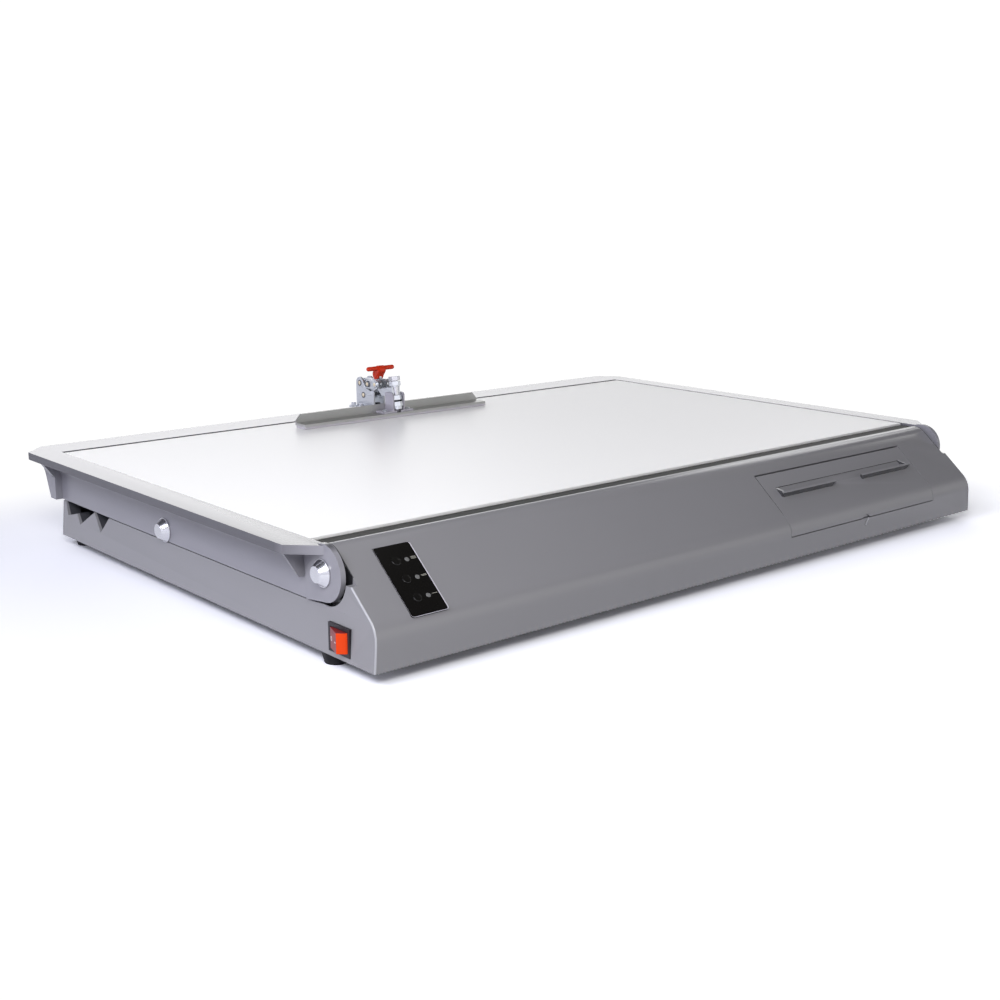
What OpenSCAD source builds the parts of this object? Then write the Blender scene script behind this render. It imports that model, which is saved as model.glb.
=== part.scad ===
/* [Base housing] */
// Width of the base housing
base_w = 874; // [820:2:940]
// Depth of the base housing, from the console's front face to the rear wall
base_d = 597; // [590:1:620]
// Height of the tray's side walls
wall_h = 39.9; // [39:0.1:40.3]
// Thickness of the moulded walls and of the console's skin
skin = 3; // [2.6:0.1:3.4]
// Thickness of the tray's side walls
wall = 3.5; // [3:0.1:3.8]
// Thickness of the steel bottom plate
plate = 1.5; // [1:0.1:2]
// Height of a rubber foot
foot_h = 11.5; // [8:0.5:16]
// Radius of a rubber foot at its top
foot_r = 13.5; // [12:0.5:14.5]
// How far the tray's walls flare out at their lower edge
draft = 2.6; // [1:0.1:3]

/* [Console] */
// Height of the console's top
console_h = 93.5; // [92.5:0.1:94]
// Depth of the console
console_d = 76.5; // [75.8:0.1:77]
// Angle of the console's slope from the horizontal
slope_deg = 40.4; // [39.5:0.1:41]
// Height at which the slope would meet the front face
slope_z0 = 35.9; // [35:0.1:36.8]
// Radius between the front face and the slope
nose_r = 25; // [23:0.5:27]
// Radius between the slope and the top
crest_r = 20; // [19:0.5:21]
// Height of the shoulder where the console narrows for the pivot ears
ledge_z = 65.3; // [64.5:0.1:66]
// Depth of the dark strip behind the console
strip_d = 18; // [14:0.5:19]

/* [Table frame] */
// Height of the table frame's top face
top_z = 94.35; // [94.2:0.05:94.6]
// Overhang of the flange past the base at the sides
rim_side = 27.6; // [22:0.2:34]
// Overhang of the flange past the base at the rear
rim_rear = 46; // [42:0.5:52]
// Thickness of the flange
rim_t = 8.2; // [7:0.1:9]
// Length of the flange's corner chamfers
rim_chamfer = 24.5; // [20:0.5:28]
// Thickness of the frame's skirt
skirt = 4; // [3:0.1:4.5]
// Gap between the skirt and the tray's wall
skirt_gap = 1; // [0.6:0.1:1.4]
// Radius of a pivot ear
ear_r = 25.3; // [24.6:0.1:25.9]
// Thickness of a pivot ear
ear_t = 4.9; // [4.5:0.1:5.4]
// How far a pivot ear stands out past the skirt
ear_out = 2.8; // [2.4:0.1:3.2]
// Largest tilt of the table
tilt_max = 26.6; // [20:0.2:26.6]

/* [Work surface] */
// Thickness of the white work sheet
sheet_t = 3; // [2.4:0.1:3.4]
// Front edge of the work sheet
sheet_y = 98.5; // [98:0.5:102]
// Gap behind the work sheet
sheet_slot = 4; // [3:0.2:4]
// Thickness of the heat spreader
spreader_t = 1.5; // [1:0.1:2]
// Thickness of the heater mat
mat_t = 0.8; // [0.6:0.1:1.2]
// Thickness of the insulation
insulation_t = 12; // [9:0.5:13]
// Thickness of the table's bottom cover
cover_t = 1.2; // [1:0.1:1.6]

/* [Pivots and props] */
// Distance of the tilt pivot from the console's front face
pivot_y = 71.2; // [70.8:0.1:71.8]
// Radius of a tilt bolt's shank
pivot_r = 6; // [5:0.25:7]
// Distance of the prop pivot from the console's front face
prop_y = 356; // [350:1:366]
// Height of the prop pivot
prop_z = 51.8; // [51:0.2:53]
// Distance between a prop arm's pivot and its rod
prop_len = 226; // [222:1:227]
// Height of the stored prop rod
prop_rod_z = 45.5; // [45:0.5:47]
// Radius of the prop rod
rod_r = 4; // [3:0.25:4.5]
// Thickness of a prop arm
arm_t = 5; // [4:0.5:6]
// Radius of a bolt's conical cap
cap_r = 12.2; // [10:0.2:13]
// Height of a bolt's conical cap
cap_h = 8; // [6:0.5:9]
// Thickness of the notched racks in the tray
rack_t = 14; // [10:0.5:15]

/* [Switch] */
// Length of the switch's bezel
bezel_l = 31; // [30.5:0.5:32]
// Height of the switch's bezel
bezel_h = 25.2; // [24.4:0.2:26]
// Thickness of the switch's bezel
bezel_t = 3; // [2.8:0.1:3.4]
// Distance of the switch from the console's front face
switch_y = 49.9; // [48.5:0.1:51]
// Height of the switch
switch_z = 17; // [16.4:0.1:17.6]
// Tilt of the rocker to each side
rocker_deg = 19.3; // [12:0.1:19.3]

/* [Control panel] */
// Width of the control panel
panel_w = 39; // [36:0.5:44]
// Length of the control panel
panel_l = 73; // [70:0.5:74]
// Centre of the control panel
panel_x = -378.7; // [-390:0.1:-340]
// Lower edge of the control panel along the slope
panel_s = 4.3; // [4:0.1:6]
// Radius of a button
button_r = 4; // [3:0.25:4.5]
// Travel of a button
button_travel = 0.8; // [0.5:0.1:1]

/* [Tool compartment] */
// Left side of the compartment's door
door_x = 97; // [80:1:120]
// Width of the compartment's door
door_w = 263; // [240:1:270]
// Top edge of the doorway along the slope
door_s = 70; // [66:0.5:71]
// Lower edge of the doorway
door_z = 23.4; // [23:0.2:26]
// Length of each of the door's two finger lips along its root
lip_l = 84; // [60:1:100]
// How far the finger lips stand out
lip_out = 6; // [3:0.25:7]
// Distance from the door's side to a finger lip's root
lip_in = 19; // [16:0.5:30]

/* [Sheet clamp] */
// Centre of the sheet clamp from the table's centre line
clamp_x = -11; // [-60:1:60]
// Length of the clamp's bar
bar_l = 284; // [220:2:340]
// Depth of the bar's flange
bar_d = 22; // [20:0.5:24]
// Height of the bar's web above its flange
bar_web = 10.1; // [6:0.1:14]
// Thickness of the bar
bar_t = 3; // [2:0.1:3]
// Thickness of the strip below the bar
bar_strip_t = 2.7; // [2:0.1:2.7]
// Distance of the bar's front edge from the rear of the base housing
bar_in = 57.5; // [56:0.5:60]

/* [Hidden] */
$fn = 64;
run_gap = 0.05;
snug_gap = 0.02;
seat_gap = 0.2;
soft_gap = 0.3;
far = 400;
bar_waist = 0.93;

half_w = base_w / 2;
total_d = base_d + rim_rear;
ear_ahead = 1.4;
ear_up = 1.45;
ear_rise = 0.2;
ear_c = [pivot_y - ear_ahead, top_z + ear_up - ear_r];
pivot_z = ear_c[1] - ear_rise;
ear_x = half_w + ear_out;
ear_in = ear_x - ear_t;
proud_y = 98;
cheek_x = half_w - 6.6;
inner_x = half_w - wall;
rack_x = half_w - rack_t;
rack_l = 121;
pocket_r = ear_r + 3.3;
pocket_c = [pivot_y - 1.2, pivot_z - 0.3];
boss_t = 6;
boss_r = 16;
bush_t = 2;
rim_z = top_z - rim_t;
rim_x = half_w + rim_side;
rim_y0 = 93.8;
taper_y = pivot_y - 2.2;
sheet_z = top_z - 0.45;
sheet_under = sheet_z - sheet_t;
sheet_x = half_w - 2;
slot_y = base_d - sheet_slot;
beam_y = 104;
skirt_z = wall_h + skirt_gap;
rear_skirt_y = base_d + skirt;
rib_x = 140;
rib_pitch = 160;
rib_t = 4;
spreader_z = sheet_under - spreader_t;
mat_z = spreader_z - mat_t;
insulation_z = mat_z - insulation_t;
cover_z = insulation_z - cover_t;
cover_x = half_w - 6.5;
ledge_x = half_w - 17;
platen_y0 = beam_y + skirt + 4.5;
platen_y1 = slot_y - 5;
cover_boss_r = 4;
cover_boss_x = cover_x - 5.5;
cover_y0 = beam_y + skirt + 0.5;
cover_y1 = slot_y - 1;
cover_screw_in = 21.5;
cover_screw_y = [cover_y0 + cover_screw_in, (cover_y0 + cover_y1) / 2, cover_y1 - cover_screw_in];
door_x1 = door_x + door_w;
door_gap = 0.7;
door_low_gap = 1;
door_top_gap = 2;
door_bead_r = 2.5;
door_pin_r = 1.4;
door_top = door_s - door_top_gap;
door_pin_n = 2.6;
door_pin_s = door_top - 2.6;
lip_s = 36;
bin_t = 2;
bin_z = door_z - 3.4;
bin_x0 = door_x + 2;
bin_x1 = door_x1 - 2;
rod_x = rack_x - 0.5;
arm_x = rod_x - 1.5 - arm_t;
prop_bolt_r = 4;
prop_eye_r = 9;
prop_foot_r = 8;
prop_angle = asin((prop_rod_z - prop_z) / prop_len);
button_s = [panel_s + 17.5, panel_s + 37, panel_s + 56];
button_x = panel_x - 4.3;
lens_x = panel_x + 7.3;
lens_r = 2.3;
panel_out = 0.6;
panel_in = 1;
board_n = 8;
board_t = 1.6;
inlet_x = -half_w + 67;
inlet_z = 18;
inlet_w = 48;
inlet_h = 27;
inlet_body_w = 27.5;
inlet_body_h = 22;
inlet_depth = 22;
recess_w = 24.5;
recess_h = 17;
recess_d = 16;
front_boss_x = [-half_w + 137, 20, half_w - 42];
rear_boss_x = [-half_w * 0.55, 0, half_w * 0.55];
front_boss_y = 8;
rear_boss_y = base_d - 8;
foot_front = [half_w - 11, 75];
foot_rear = [half_w - 19, base_d - 11.5];
foot_low_r = foot_r - 3.2;
base_boss_r = 6;
base_boss_h = 16;
rocker_axis_x = half_w;
rocker_h = 18.1;
rocker_r = 12.4;
rocker_pin_r = 1.2;
switch_body_l = 28;
switch_body_h = 23;
switch_body_d = 27;
board_x = -half_w + 152;
board_y = 42;
board_l = 110;
board_w = 52;
coil_w = 31;
coil_x = board_x - 46;
board_z = 10;
lead_x = -half_w + 39;
lead_z = 15;
lead_r = 3;
heater_lead_z = cover_z - lead_r - 0.5;
cutout_x = -300;
cutout_y = 200;

slope_out = [-sin(slope_deg), cos(slope_deg)];
nose_c = [nose_r, slope_z0 - nose_r * tan((90 - slope_deg) / 2)];
crest_c = [(console_h - slope_z0) / tan(slope_deg) + crest_r * tan(slope_deg / 2), console_h - crest_r];

bar_y = base_d - bar_in;
clamp_y = base_d - 6.8;
clamp_a = [clamp_y + 24, top_z + 36.05];
clamp_b = [clamp_y + 16, top_z + 21.05];
clamp_c = [clamp_y + 2, top_z + 37.05];
clamp_d = [clamp_y - 14, top_z + 38.05];
grip_top = [clamp_y - 10.2, top_z + 58.1];
grip_low = [clamp_y - 5.2, top_z + 48.8];
plate_z = top_z + 2.6;
clamp_pin_r = 2.5;
clamp_plate = 2;
base_plate_x = 6.8;
link_x = 9.2;
clamp_arm_x = 4.2;
head_t = 1.5;
head_r = 4;
flange_t = 2.5;
spindle_y = bar_y + 4.4;
spindle_r = 4;
arm_tilt = 9;
bar_strip_z = sheet_z + soft_gap;
bar_z = bar_strip_z + bar_strip_t;
bar_top = bar_z + bar_t;
bracket_w = 46;
bracket_h = 25;
bracket_d = bar_d - bar_t - 1.7;
bracket_t = 2.5;
bracket_z = bar_top + bracket_t;
bracket_wall_x = 7.2;
nut_h = 5.8;
nut_af = 13;
foot_bush_t0 = 1.2;
nut_t = [5, 13, 31];
ring_t = [10.8, 12.6];
arm_t0 = 19.3;
arm_t1 = 29.4;
washer_t = 1.2;
spindle_head_t = 37.6;
spindle_head_h = 5.6;
bar_rivet_x = 17.5;
bar_rivet_y = 7.5;
clamp_bolt_x = 15;
clamp_bolt_y = [base_d + 5.5, base_d + 23];
clamp_bolt_r = 3;

// Point on the console's slope: s along it from the front plane, n inwards from it
function slope_pt(s, n) = [s * cos(slope_deg) + n * sin(slope_deg),
                           slope_z0 + s * sin(slope_deg) - n * cos(slope_deg)];

// Moves the model from the console's front lower edge to the origin under its middle
module placed() {
    translate([0, -total_d / 2, foot_h]) children();
}

// Extrudes a side view of y and z along x
module slab_x(x0, x1) {
    translate([x0, 0, 0]) rotate([90, 0, 90]) linear_extrude(x1 - x0) children();
}

module both_sides() {
    children();
    mirror([1, 0, 0]) children();
}

module box(x0, x1, y0, y1, z0, z1) {
    translate([x0, y0, z0]) cube([x1 - x0, y1 - y0, z1 - z0]);
}

// Round bar along x at a point of the side view
module pin_x(x0, x1, p, r) {
    translate([x0, p[0], p[1]]) rotate([0, 90, 0]) cylinder(r = r, h = x1 - x0);
}

// Round bar along z
module pin_z(x, y, z0, z1, r) {
    translate([x, y, z0]) cylinder(r = r, h = z1 - z0);
}

// Flat bar with round eyes in the side view, a little narrower between them
module bar2d(p, q, r) {
    d = q - p;
    h = r * bar_waist;
    translate(p) circle(r);
    translate(q) circle(r);
    translate(p) rotate(atan2(d[1], d[0])) translate([0, -h]) square([norm(d), 2 * h]);
}

// Puts a piece on the slope, with its own y up the slope and its z outwards
module on_slope(x, s) {
    translate([x, slope_pt(s, 0)[0], slope_pt(s, 0)[1]]) rotate([slope_deg, 0, 0]) children();
}

// Side view of the console, drawn in by d from its outer face
module console_profile(d, low) {
    intersection() {
        union() {
            polygon([[d, low], [d, nose_c[1]], nose_c + (nose_r - d) * slope_out,
                     crest_c + (crest_r - d) * slope_out, crest_c, [crest_c[0], console_h - d],
                     [crest_c[0] + nose_r, console_h - d], [crest_c[0] + nose_r, low]]);
            translate(nose_c) circle(nose_r - d, $fn = 128);
            translate(crest_c) circle(crest_r - d, $fn = 128);
        }
        translate([0, low]) square([console_d - d, console_h]);
    }
}

// Side view of the stretch of skin that the door fills
module door_region(top, low) {
    polygon([slope_pt(top, -6), slope_pt(top, 8), [12, low], [-6, low], [-6, slope_z0]]);
}

// Side view of the tray's wall, with its three prop notches
module wall_profile() {
    polygon([[0, 0], [base_d, 0], [base_d, wall_h], [base_d - 6.3, wall_h],
             [base_d - 12.9, wall_h - 15.1], [base_d - 35.6, wall_h - 9.2],
             [base_d - 42.7, wall_h - 20.4], [base_d - 79.1, wall_h],
             [base_d - 94, wall_h - 19.5], [base_d - 114.2, wall_h],
             [beam_y + 1, wall_h], [pocket_c[0], pocket_c[1] - pocket_r + 0.5],
             [pocket_c[0], ledge_z], [0, ledge_z]]);
}

// Space that the tray's flared walls fill, as a block along y
module flared_block() {
    wide = half_w + draft;
    translate([0, base_d + draft + 1, 0]) rotate([90, 0, 0]) linear_extrude(base_d + draft + 2)
        polygon([[-wide, 0], [wide, 0], [half_w, wall_h], [half_w, console_h + 1],
                 [-half_w, console_h + 1], [-half_w, wall_h]]);
}

// Side view of the base's side, up to the shoulder and round the ear
module side_profile() {
    difference() {
        intersection() {
            wall_profile();
            union() {
                console_profile(0, 0);
                translate([console_d - 1, 0]) square([base_d, ledge_z]);
            }
        }
        translate(pocket_c) circle(pocket_r, $fn = 96);
    }
}

module base_housing() {
    color([0.55, 0.55, 0.57]) placed() difference() {
        union() {
            difference() {
                intersection() {
                    flared_block();
                    union() {
                        slab_x(-cheek_x, cheek_x) console_profile(0, 0);
                        both_sides() slab_x(cheek_x - 1, half_w + draft) side_profile();
                        slab_x(-half_w - draft, half_w + draft)
                            polygon([[base_d - wall, 0], [base_d + draft, 0], [base_d, wall_h], [base_d - wall, wall_h]]);
                    }
                }
                slab_x(-cheek_x + skin, cheek_x - skin) console_profile(skin, -1);
                box(-inner_x, inner_x, console_d, base_d - wall, -1, wall_h + 1);
                box(-inner_x, inner_x, skin, console_d + 1, -1, plate + seat_gap);
                both_sides() slab_x(cheek_x - skin - 1, inner_x) difference() {
                    console_profile(skin, -1);
                    translate([0, ledge_z - skin]) square([console_d, console_h]);
                    translate(pocket_c) circle(pocket_r + skin, $fn = 96);
                }
            }
            both_sides() slab_x(rack_x, inner_x + 1) intersection() {
                wall_profile();
                translate([base_d - rack_l, plate + seat_gap]) square([rack_l - 1, wall_h]);
            }
            both_sides() pin_x(cheek_x - boss_t, cheek_x, [pivot_y, pivot_z], boss_r);
            for (x = front_boss_x) pin_z(x, front_boss_y, plate, plate + base_boss_h, base_boss_r);
            for (x = rear_boss_x) pin_z(x, rear_boss_y, plate, plate + base_boss_h, base_boss_r);
            for (x = [door_x - door_gap - 5, door_x1 + door_gap])
                pin_x(x, x + 5, slope_pt(door_pin_s, door_pin_n + 1), 3.6);
            for (s = [panel_s + 8, panel_s + panel_l - 8])
                for (x = [-12, 12])
                    on_slope(panel_x + x, s) translate([0, 0, -board_n]) cylinder(r = 2.5, h = board_n - 2);
        }
        both_sides() pin_x(cheek_x - boss_t - 1, cheek_x + 1, [pivot_y, pivot_z], pivot_r + bush_t + snug_gap);
        both_sides() pin_x(cheek_x - boss_t - 13, cheek_x - boss_t, [pivot_y, pivot_z], 12);
        for (x = front_boss_x) pin_z(x, front_boss_y, -1, plate + 12, 1.75);
        for (x = rear_boss_x) pin_z(x, rear_boss_y, -1, plate + 12, 1.75);
        slab_x(door_x - door_gap, door_x1 + door_gap) door_region(door_s, door_z);
        pin_x(door_x - door_gap - 6, door_x1 + door_gap + 6, slope_pt(door_pin_s, door_pin_n), door_pin_r + run_gap);
        translate([(door_x + door_x1) / 2, 1.6, door_z]) rotate([90, 0, 0]) linear_extrude(4)
            polygon([[-7, 1], [7, 1], [4, -3], [1.2, -8], [-1.2, -8], [-4, -3]]);
        on_slope(panel_x, panel_s) translate([-panel_w / 2 - seat_gap, -seat_gap, -panel_in])
            cube([panel_w + 2 * seat_gap, panel_l + 2 * seat_gap, 6]);
        for (s = button_s) {
            on_slope(button_x, s) translate([0, 0, -5]) cylinder(r = button_r + 0.3, h = 8);
            on_slope(lens_x, s) translate([0, 0, -5]) cylinder(r = lens_r + 0.1, h = 8);
        }
        switch_cut(bezel_l, bezel_h, -half_w - draft - 1, -half_w);
        switch_cut(switch_body_l, switch_body_h, -half_w - 1, -inner_x + 8);
        foot_places() pin_z(0, 0, -1, plate + 5.5, 2.6);
        box(inlet_x - inlet_w / 2 - seat_gap, inlet_x + inlet_w / 2 + seat_gap, base_d, base_d + draft + 1,
            inlet_z - inlet_h / 2 - seat_gap, inlet_z + inlet_h / 2 + seat_gap);
        box(inlet_x - inlet_body_w / 2 - seat_gap, inlet_x + inlet_body_w / 2 + seat_gap, base_d - wall - 1,
            base_d + 1, inlet_z - inlet_body_h / 2 - seat_gap, inlet_z + inlet_body_h / 2 + seat_gap);
        for (x = [-20, 20])
            translate([inlet_x + x, base_d - wall - 1, inlet_z]) rotate([-90, 0, 0]) cylinder(r = 1.6, h = wall + 2);
        translate([lead_x, console_d - skin - 1, lead_z]) rotate([-90, 0, 0]) cylinder(r = lead_r + 1, h = skin + 2);
    }
}

module base_plate() {
    color([0.45, 0.45, 0.46]) placed() difference() {
        union() {
            box(-inner_x + seat_gap, inner_x - seat_gap, skin + seat_gap, base_d - wall - seat_gap, 0, plate);
            for (x = [-48, 48])
                for (y = [-20, 20])
                    pin_z(board_x + x, board_y + y, plate, board_z, 3);
        }
        for (x = front_boss_x) pin_z(x, front_boss_y, -1, plate + 1, 2);
        for (x = rear_boss_x) pin_z(x, rear_boss_y, -1, plate + 1, 2);
        foot_places() pin_z(0, 0, -1, plate + 1, 2.2);
    }
}

// Opening in the left side for the switch's bezel or body
module switch_cut(l, h, x0, x1) {
    box(x0, x1, switch_y - l / 2 - seat_gap, switch_y + l / 2 + seat_gap,
        switch_z - h / 2 - seat_gap, switch_z + h / 2 + seat_gap);
}

module foot_places() {
    for (p = [foot_front, foot_rear])
        for (side = [-1, 1])
            translate([side * p[0], p[1], 0]) children();
}

module feet() {
    color([0.06, 0.06, 0.07]) placed() foot_places() difference() {
        translate([0, 0, -foot_h]) union() {
            cylinder(r = foot_low_r, h = 0.8);
            translate([0, 0, 0.8]) cylinder(r1 = foot_low_r + 0.2, r2 = foot_r, h = foot_h - 0.8);
        }
        translate([0, 0, -foot_h - 1]) cylinder(r = 5, h = 5);
        translate([0, 0, -foot_h]) cylinder(r = 2.1, h = foot_h + 1);
    }
}

module screw_z(x, y, z, r, h, head) {
    translate([x, y, z]) union() {
        cylinder(r = r, h = h);
        translate([0, 0, -2.2]) cylinder(r1 = head - 0.8, r2 = head, h = 2.2);
    }
}

module base_screws() {
    color([0.7, 0.7, 0.72]) placed() {
        for (x = front_boss_x) screw_z(x, front_boss_y, 0, 1.7, 11, 3.4);
        for (x = rear_boss_x) screw_z(x, rear_boss_y, 0, 1.7, 11, 3.4);
        foot_places() screw_z(0, 0, 4 - foot_h, 2, foot_h + 1, 4);
    }
}

module control_panel() {
    color([0.08, 0.08, 0.08]) placed() on_slope(panel_x, panel_s) difference() {
        translate([0, 0, -panel_in]) linear_extrude(panel_in + panel_out) union() {
            translate([-panel_w / 2 + 3, 0]) square([panel_w - 6, panel_l]);
            translate([-panel_w / 2, 3]) square([panel_w, panel_l - 6]);
            for (x = [-panel_w / 2 + 3, panel_w / 2 - 3])
                for (y = [3, panel_l - 3])
                    translate([x, y]) circle(3);
        }
        for (s = button_s) {
            translate([button_x - panel_x, s - panel_s, -2]) cylinder(r = button_r + 0.15, h = 4);
            translate([lens_x - panel_x, s - panel_s, -2]) cylinder(r = lens_r + snug_gap, h = 4);
        }
    }
}

module led_lenses() {
    color([0.7, 0.7, 0.68]) placed() for (s = button_s)
        on_slope(lens_x, s) translate([0, 0, -2.5]) cylinder(r = lens_r, h = 2.5 + panel_out + 0.1);
}

module control_board() {
    color([0.1, 0.35, 0.2]) placed() on_slope(panel_x, panel_s) {
        translate([-16, 2, -board_n - board_t]) cube([32, panel_l - 4, board_t]);
        for (s = button_s) {
            translate([button_x - panel_x - 3, s - panel_s - 3, -board_n]) cube([6, 6, 3.5]);
            translate([lens_x - panel_x, s - panel_s, -board_n]) cylinder(r = 1.5, h = 5);
        }
    }
}

module button(s) {
    color([0.1, 0.1, 0.1]) placed() on_slope(button_x, s)
        translate([0, 0, -3.5]) cylinder(r = button_r, h = 3.5 + panel_out + 0.5);
}

module button_1() { button(button_s[0]); }
module button_2() { button(button_s[1]); }
module button_3() { button(button_s[2]); }

// Bezel and body of the power switch, with a round seat for the rocker
module switch_body() {
    open_h = rocker_h / 2 + 0.3;
    back_x = -half_w + switch_body_d;
    color([0.07, 0.07, 0.07]) placed() difference() {
        union() {
            box(-half_w - bezel_t, -half_w, switch_y - bezel_l / 2, switch_y + bezel_l / 2,
                switch_z - bezel_h / 2, switch_z + bezel_h / 2);
            box(-half_w, back_x, switch_y - switch_body_l / 2, switch_y + switch_body_l / 2,
                switch_z - switch_body_h / 2, switch_z + switch_body_h / 2);
            for (y = [-8, 0, 8])
                box(back_x, back_x + 7, switch_y + y - 0.4, switch_y + y + 0.4, switch_z - 3, switch_z + 3);
        }
        pin_z(-rocker_axis_x, switch_y, switch_z - open_h, switch_z + open_h, rocker_r + 0.2);
        box(-half_w - bezel_t - 1, -rocker_axis_x, switch_y - rocker_r - 0.2, switch_y + rocker_r + 0.2,
            switch_z - open_h, switch_z + open_h);
        pin_z(-rocker_axis_x, switch_y, switch_z - open_h - 1, switch_z + open_h + 1, rocker_pin_r + run_gap);
    }
}

module rocker() {
    pin_l = rocker_h + 1.8;
    color([0.85, 0.2, 0.08]) placed() translate([-rocker_axis_x, switch_y, switch_z]) {
        rotate([0, 0, 90 - rocker_deg]) translate([0, 0, -rocker_h / 2]) linear_extrude(rocker_h) intersection() {
            circle(rocker_r);
            polygon([[-12.4, -5], [12.4, -5], [12.28, 0.8], [9.1, 7.4], [-9.1, 7.4], [-12.28, 0.8]]);
        }
        translate([0, 0, -pin_l / 2]) cylinder(r = rocker_pin_r, h = pin_l);
    }
}

module power_board() {
    color([0.12, 0.3, 0.18]) placed() {
        top = board_z + board_t;
        box(board_x - board_l / 2, board_x + board_l / 2, board_y - board_w / 2, board_y + board_w / 2, board_z, top);
        box(coil_x, coil_x + coil_w, board_y - coil_w / 2, board_y + coil_w / 2, top, top + 24.4);
        pin_z(board_x + 4, board_y - 6, top, top + 20.4, 8);
        pin_z(board_x + 24, board_y + 8, top, top + 16.4, 6);
        box(board_x + 36, board_x + 50, board_y - 20, board_y + 20, top, top + 12.4);
    }
}

module inlet_socket() {
    color([0.07, 0.07, 0.07]) placed() {
        difference() {
            union() {
                box(inlet_x - inlet_w / 2, inlet_x + inlet_w / 2, base_d, base_d + 2.5,
                    inlet_z - inlet_h / 2, inlet_z + inlet_h / 2);
                box(inlet_x - inlet_body_w / 2, inlet_x + inlet_body_w / 2, base_d - inlet_depth, base_d,
                    inlet_z - inlet_body_h / 2, inlet_z + inlet_body_h / 2);
            }
            box(inlet_x - recess_w / 2, inlet_x + recess_w / 2, base_d + 2.5 - recess_d, base_d + 3,
                inlet_z - recess_h / 2, inlet_z + recess_h / 2);
            for (x = [-20, 20])
                translate([inlet_x + x, base_d - 1, inlet_z]) rotate([-90, 0, 0]) cylinder(r = 1.6, h = 5);
        }
        for (p = [[-7, -1.5], [0, 2.5], [7, -1.5]])
            box(inlet_x + p[0] - 1, inlet_x + p[0] + 1, base_d + 2 - recess_d, base_d - 3,
                inlet_z + p[1] - 2, inlet_z + p[1] + 2);
    }
}

module inlet_screws() {
    color([0.75, 0.75, 0.77]) placed() for (x = [-20, 20])
        translate([inlet_x + x, base_d + 2.5, inlet_z]) rotate([90, 0, 0]) {
            cylinder(r = 1.5, h = 9);
            translate([0, 0, -1.8]) cylinder(r1 = 2.2, r2 = 2.9, h = 1.8);
        }
}

// Open-fronted bin behind the doorway
module tool_bin() {
    top = slope_pt(door_s + 2, skin + 0.5);
    back = console_d - skin - seat_gap;
    color([0.3, 0.3, 0.31]) placed() difference() {
        slab_x(bin_x0 - bin_t, bin_x1 + bin_t)
            polygon([[skin + 0.5, bin_z], [back, bin_z], [back, top[1]], top,
                     nose_c + (nose_r - skin - 0.5) * slope_out, [skin + 0.5, nose_c[1]]]);
        slab_x(bin_x0, bin_x1)
            polygon([[-1, bin_z + bin_t], [back - bin_t, bin_z + bin_t], [back - bin_t, top[1] - bin_t],
                     [top[0] - 20, top[1] - bin_t], [-1, slope_z0]]);
        slab_x(bin_x0 - bin_t - 1, bin_x1 + bin_t + 1) door_region(door_s + 0.5, bin_z + bin_t);
    }
}

// Groove across the door above its finger lips
module lip_groove() {
    slab_x(door_x + lip_in - 1, door_x1 - lip_in + 1)
        polygon([slope_pt(lip_s + 4, -2), slope_pt(lip_s + 5, 1.3), slope_pt(lip_s + 14, 1.3),
                 slope_pt(lip_s + 14, -2)]);
}

// Left finger lip, wider at its edge, with a cheek at its outer end
module finger_lip() {
    x0 = door_x + lip_in;
    intersection() {
        slab_x(door_x, x0 + lip_l + lip_out) polygon([slope_pt(lip_s, 1), slope_pt(lip_s + 1.6, -lip_out),
                                                      slope_pt(lip_s + 4, -lip_out), slope_pt(lip_s + 4.6, 1.5)]);
        on_slope(0, 0) rotate([90, 0, 0]) translate([0, 0, -far]) linear_extrude(2 * far)
            polygon([[x0, -3], [x0 + lip_l, -3], [x0 + lip_l, 0], [x0 + lip_l + lip_out, lip_out + 1],
                     [x0 - lip_out, lip_out + 1], [x0, 0]]);
    }
    slab_x(x0 - 2, x0 + 0.5) polygon([slope_pt(lip_s + 1, 1), slope_pt(lip_s + 2.6, -lip_out + 0.6),
                                      slope_pt(lip_s + 4, -lip_out + 0.6), slope_pt(lip_s + 15, 1)]);
}

module tool_door() {
    door_mid = (door_x + door_x1) / 2;
    color([0.5, 0.5, 0.52]) placed() difference() {
        union() {
            difference() {
                slab_x(door_x, door_x1) intersection() {
                    difference() {
                        console_profile(0, 0);
                        console_profile(skin, 0);
                    }
                    door_region(door_top, door_z + door_low_gap);
                }
                lip_groove();
                translate([door_mid, 2, door_z + door_low_gap - 5]) rotate([90, 0, 0]) cylinder(r = 8.5, h = 4);
            }
            pin_x(door_x, door_x1, slope_pt(door_pin_s, door_pin_n), door_bead_r);
            finger_lip();
            translate([2 * door_mid, 0, 0]) mirror([1, 0, 0]) finger_lip();
        }
        pin_x(door_x - 1, door_x1 + 1, slope_pt(door_pin_s, door_pin_n), door_pin_r + snug_gap);
    }
}

module door_pins() {
    color([0.75, 0.75, 0.77]) placed() for (x = [door_x - door_gap - 4, door_x1 - 16])
        pin_x(x, x + 20 + door_gap, slope_pt(door_pin_s, door_pin_n), door_pin_r);
}

module pivot_bushes() {
    color([0.8, 0.8, 0.75]) placed() both_sides() difference() {
        pin_x(cheek_x - boss_t, ear_in - 0.4, [pivot_y, pivot_z], pivot_r + bush_t);
        pin_x(cheek_x - boss_t - 1, ear_in, [pivot_y, pivot_z], pivot_r + run_gap);
    }
}

module hinge_strip() {
    color([0.28, 0.28, 0.27]) placed() slab_x(-cheek_x, cheek_x)
        polygon([[console_d, console_h - 7], [console_d + 1.5, console_h - 7],
                 [console_d + 1.5, console_h - 3.2], [console_d + strip_d, console_h - 3.2],
                 [console_d + strip_d, console_h - 1.2], [console_d, console_h - 1.2]]);
}

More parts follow.
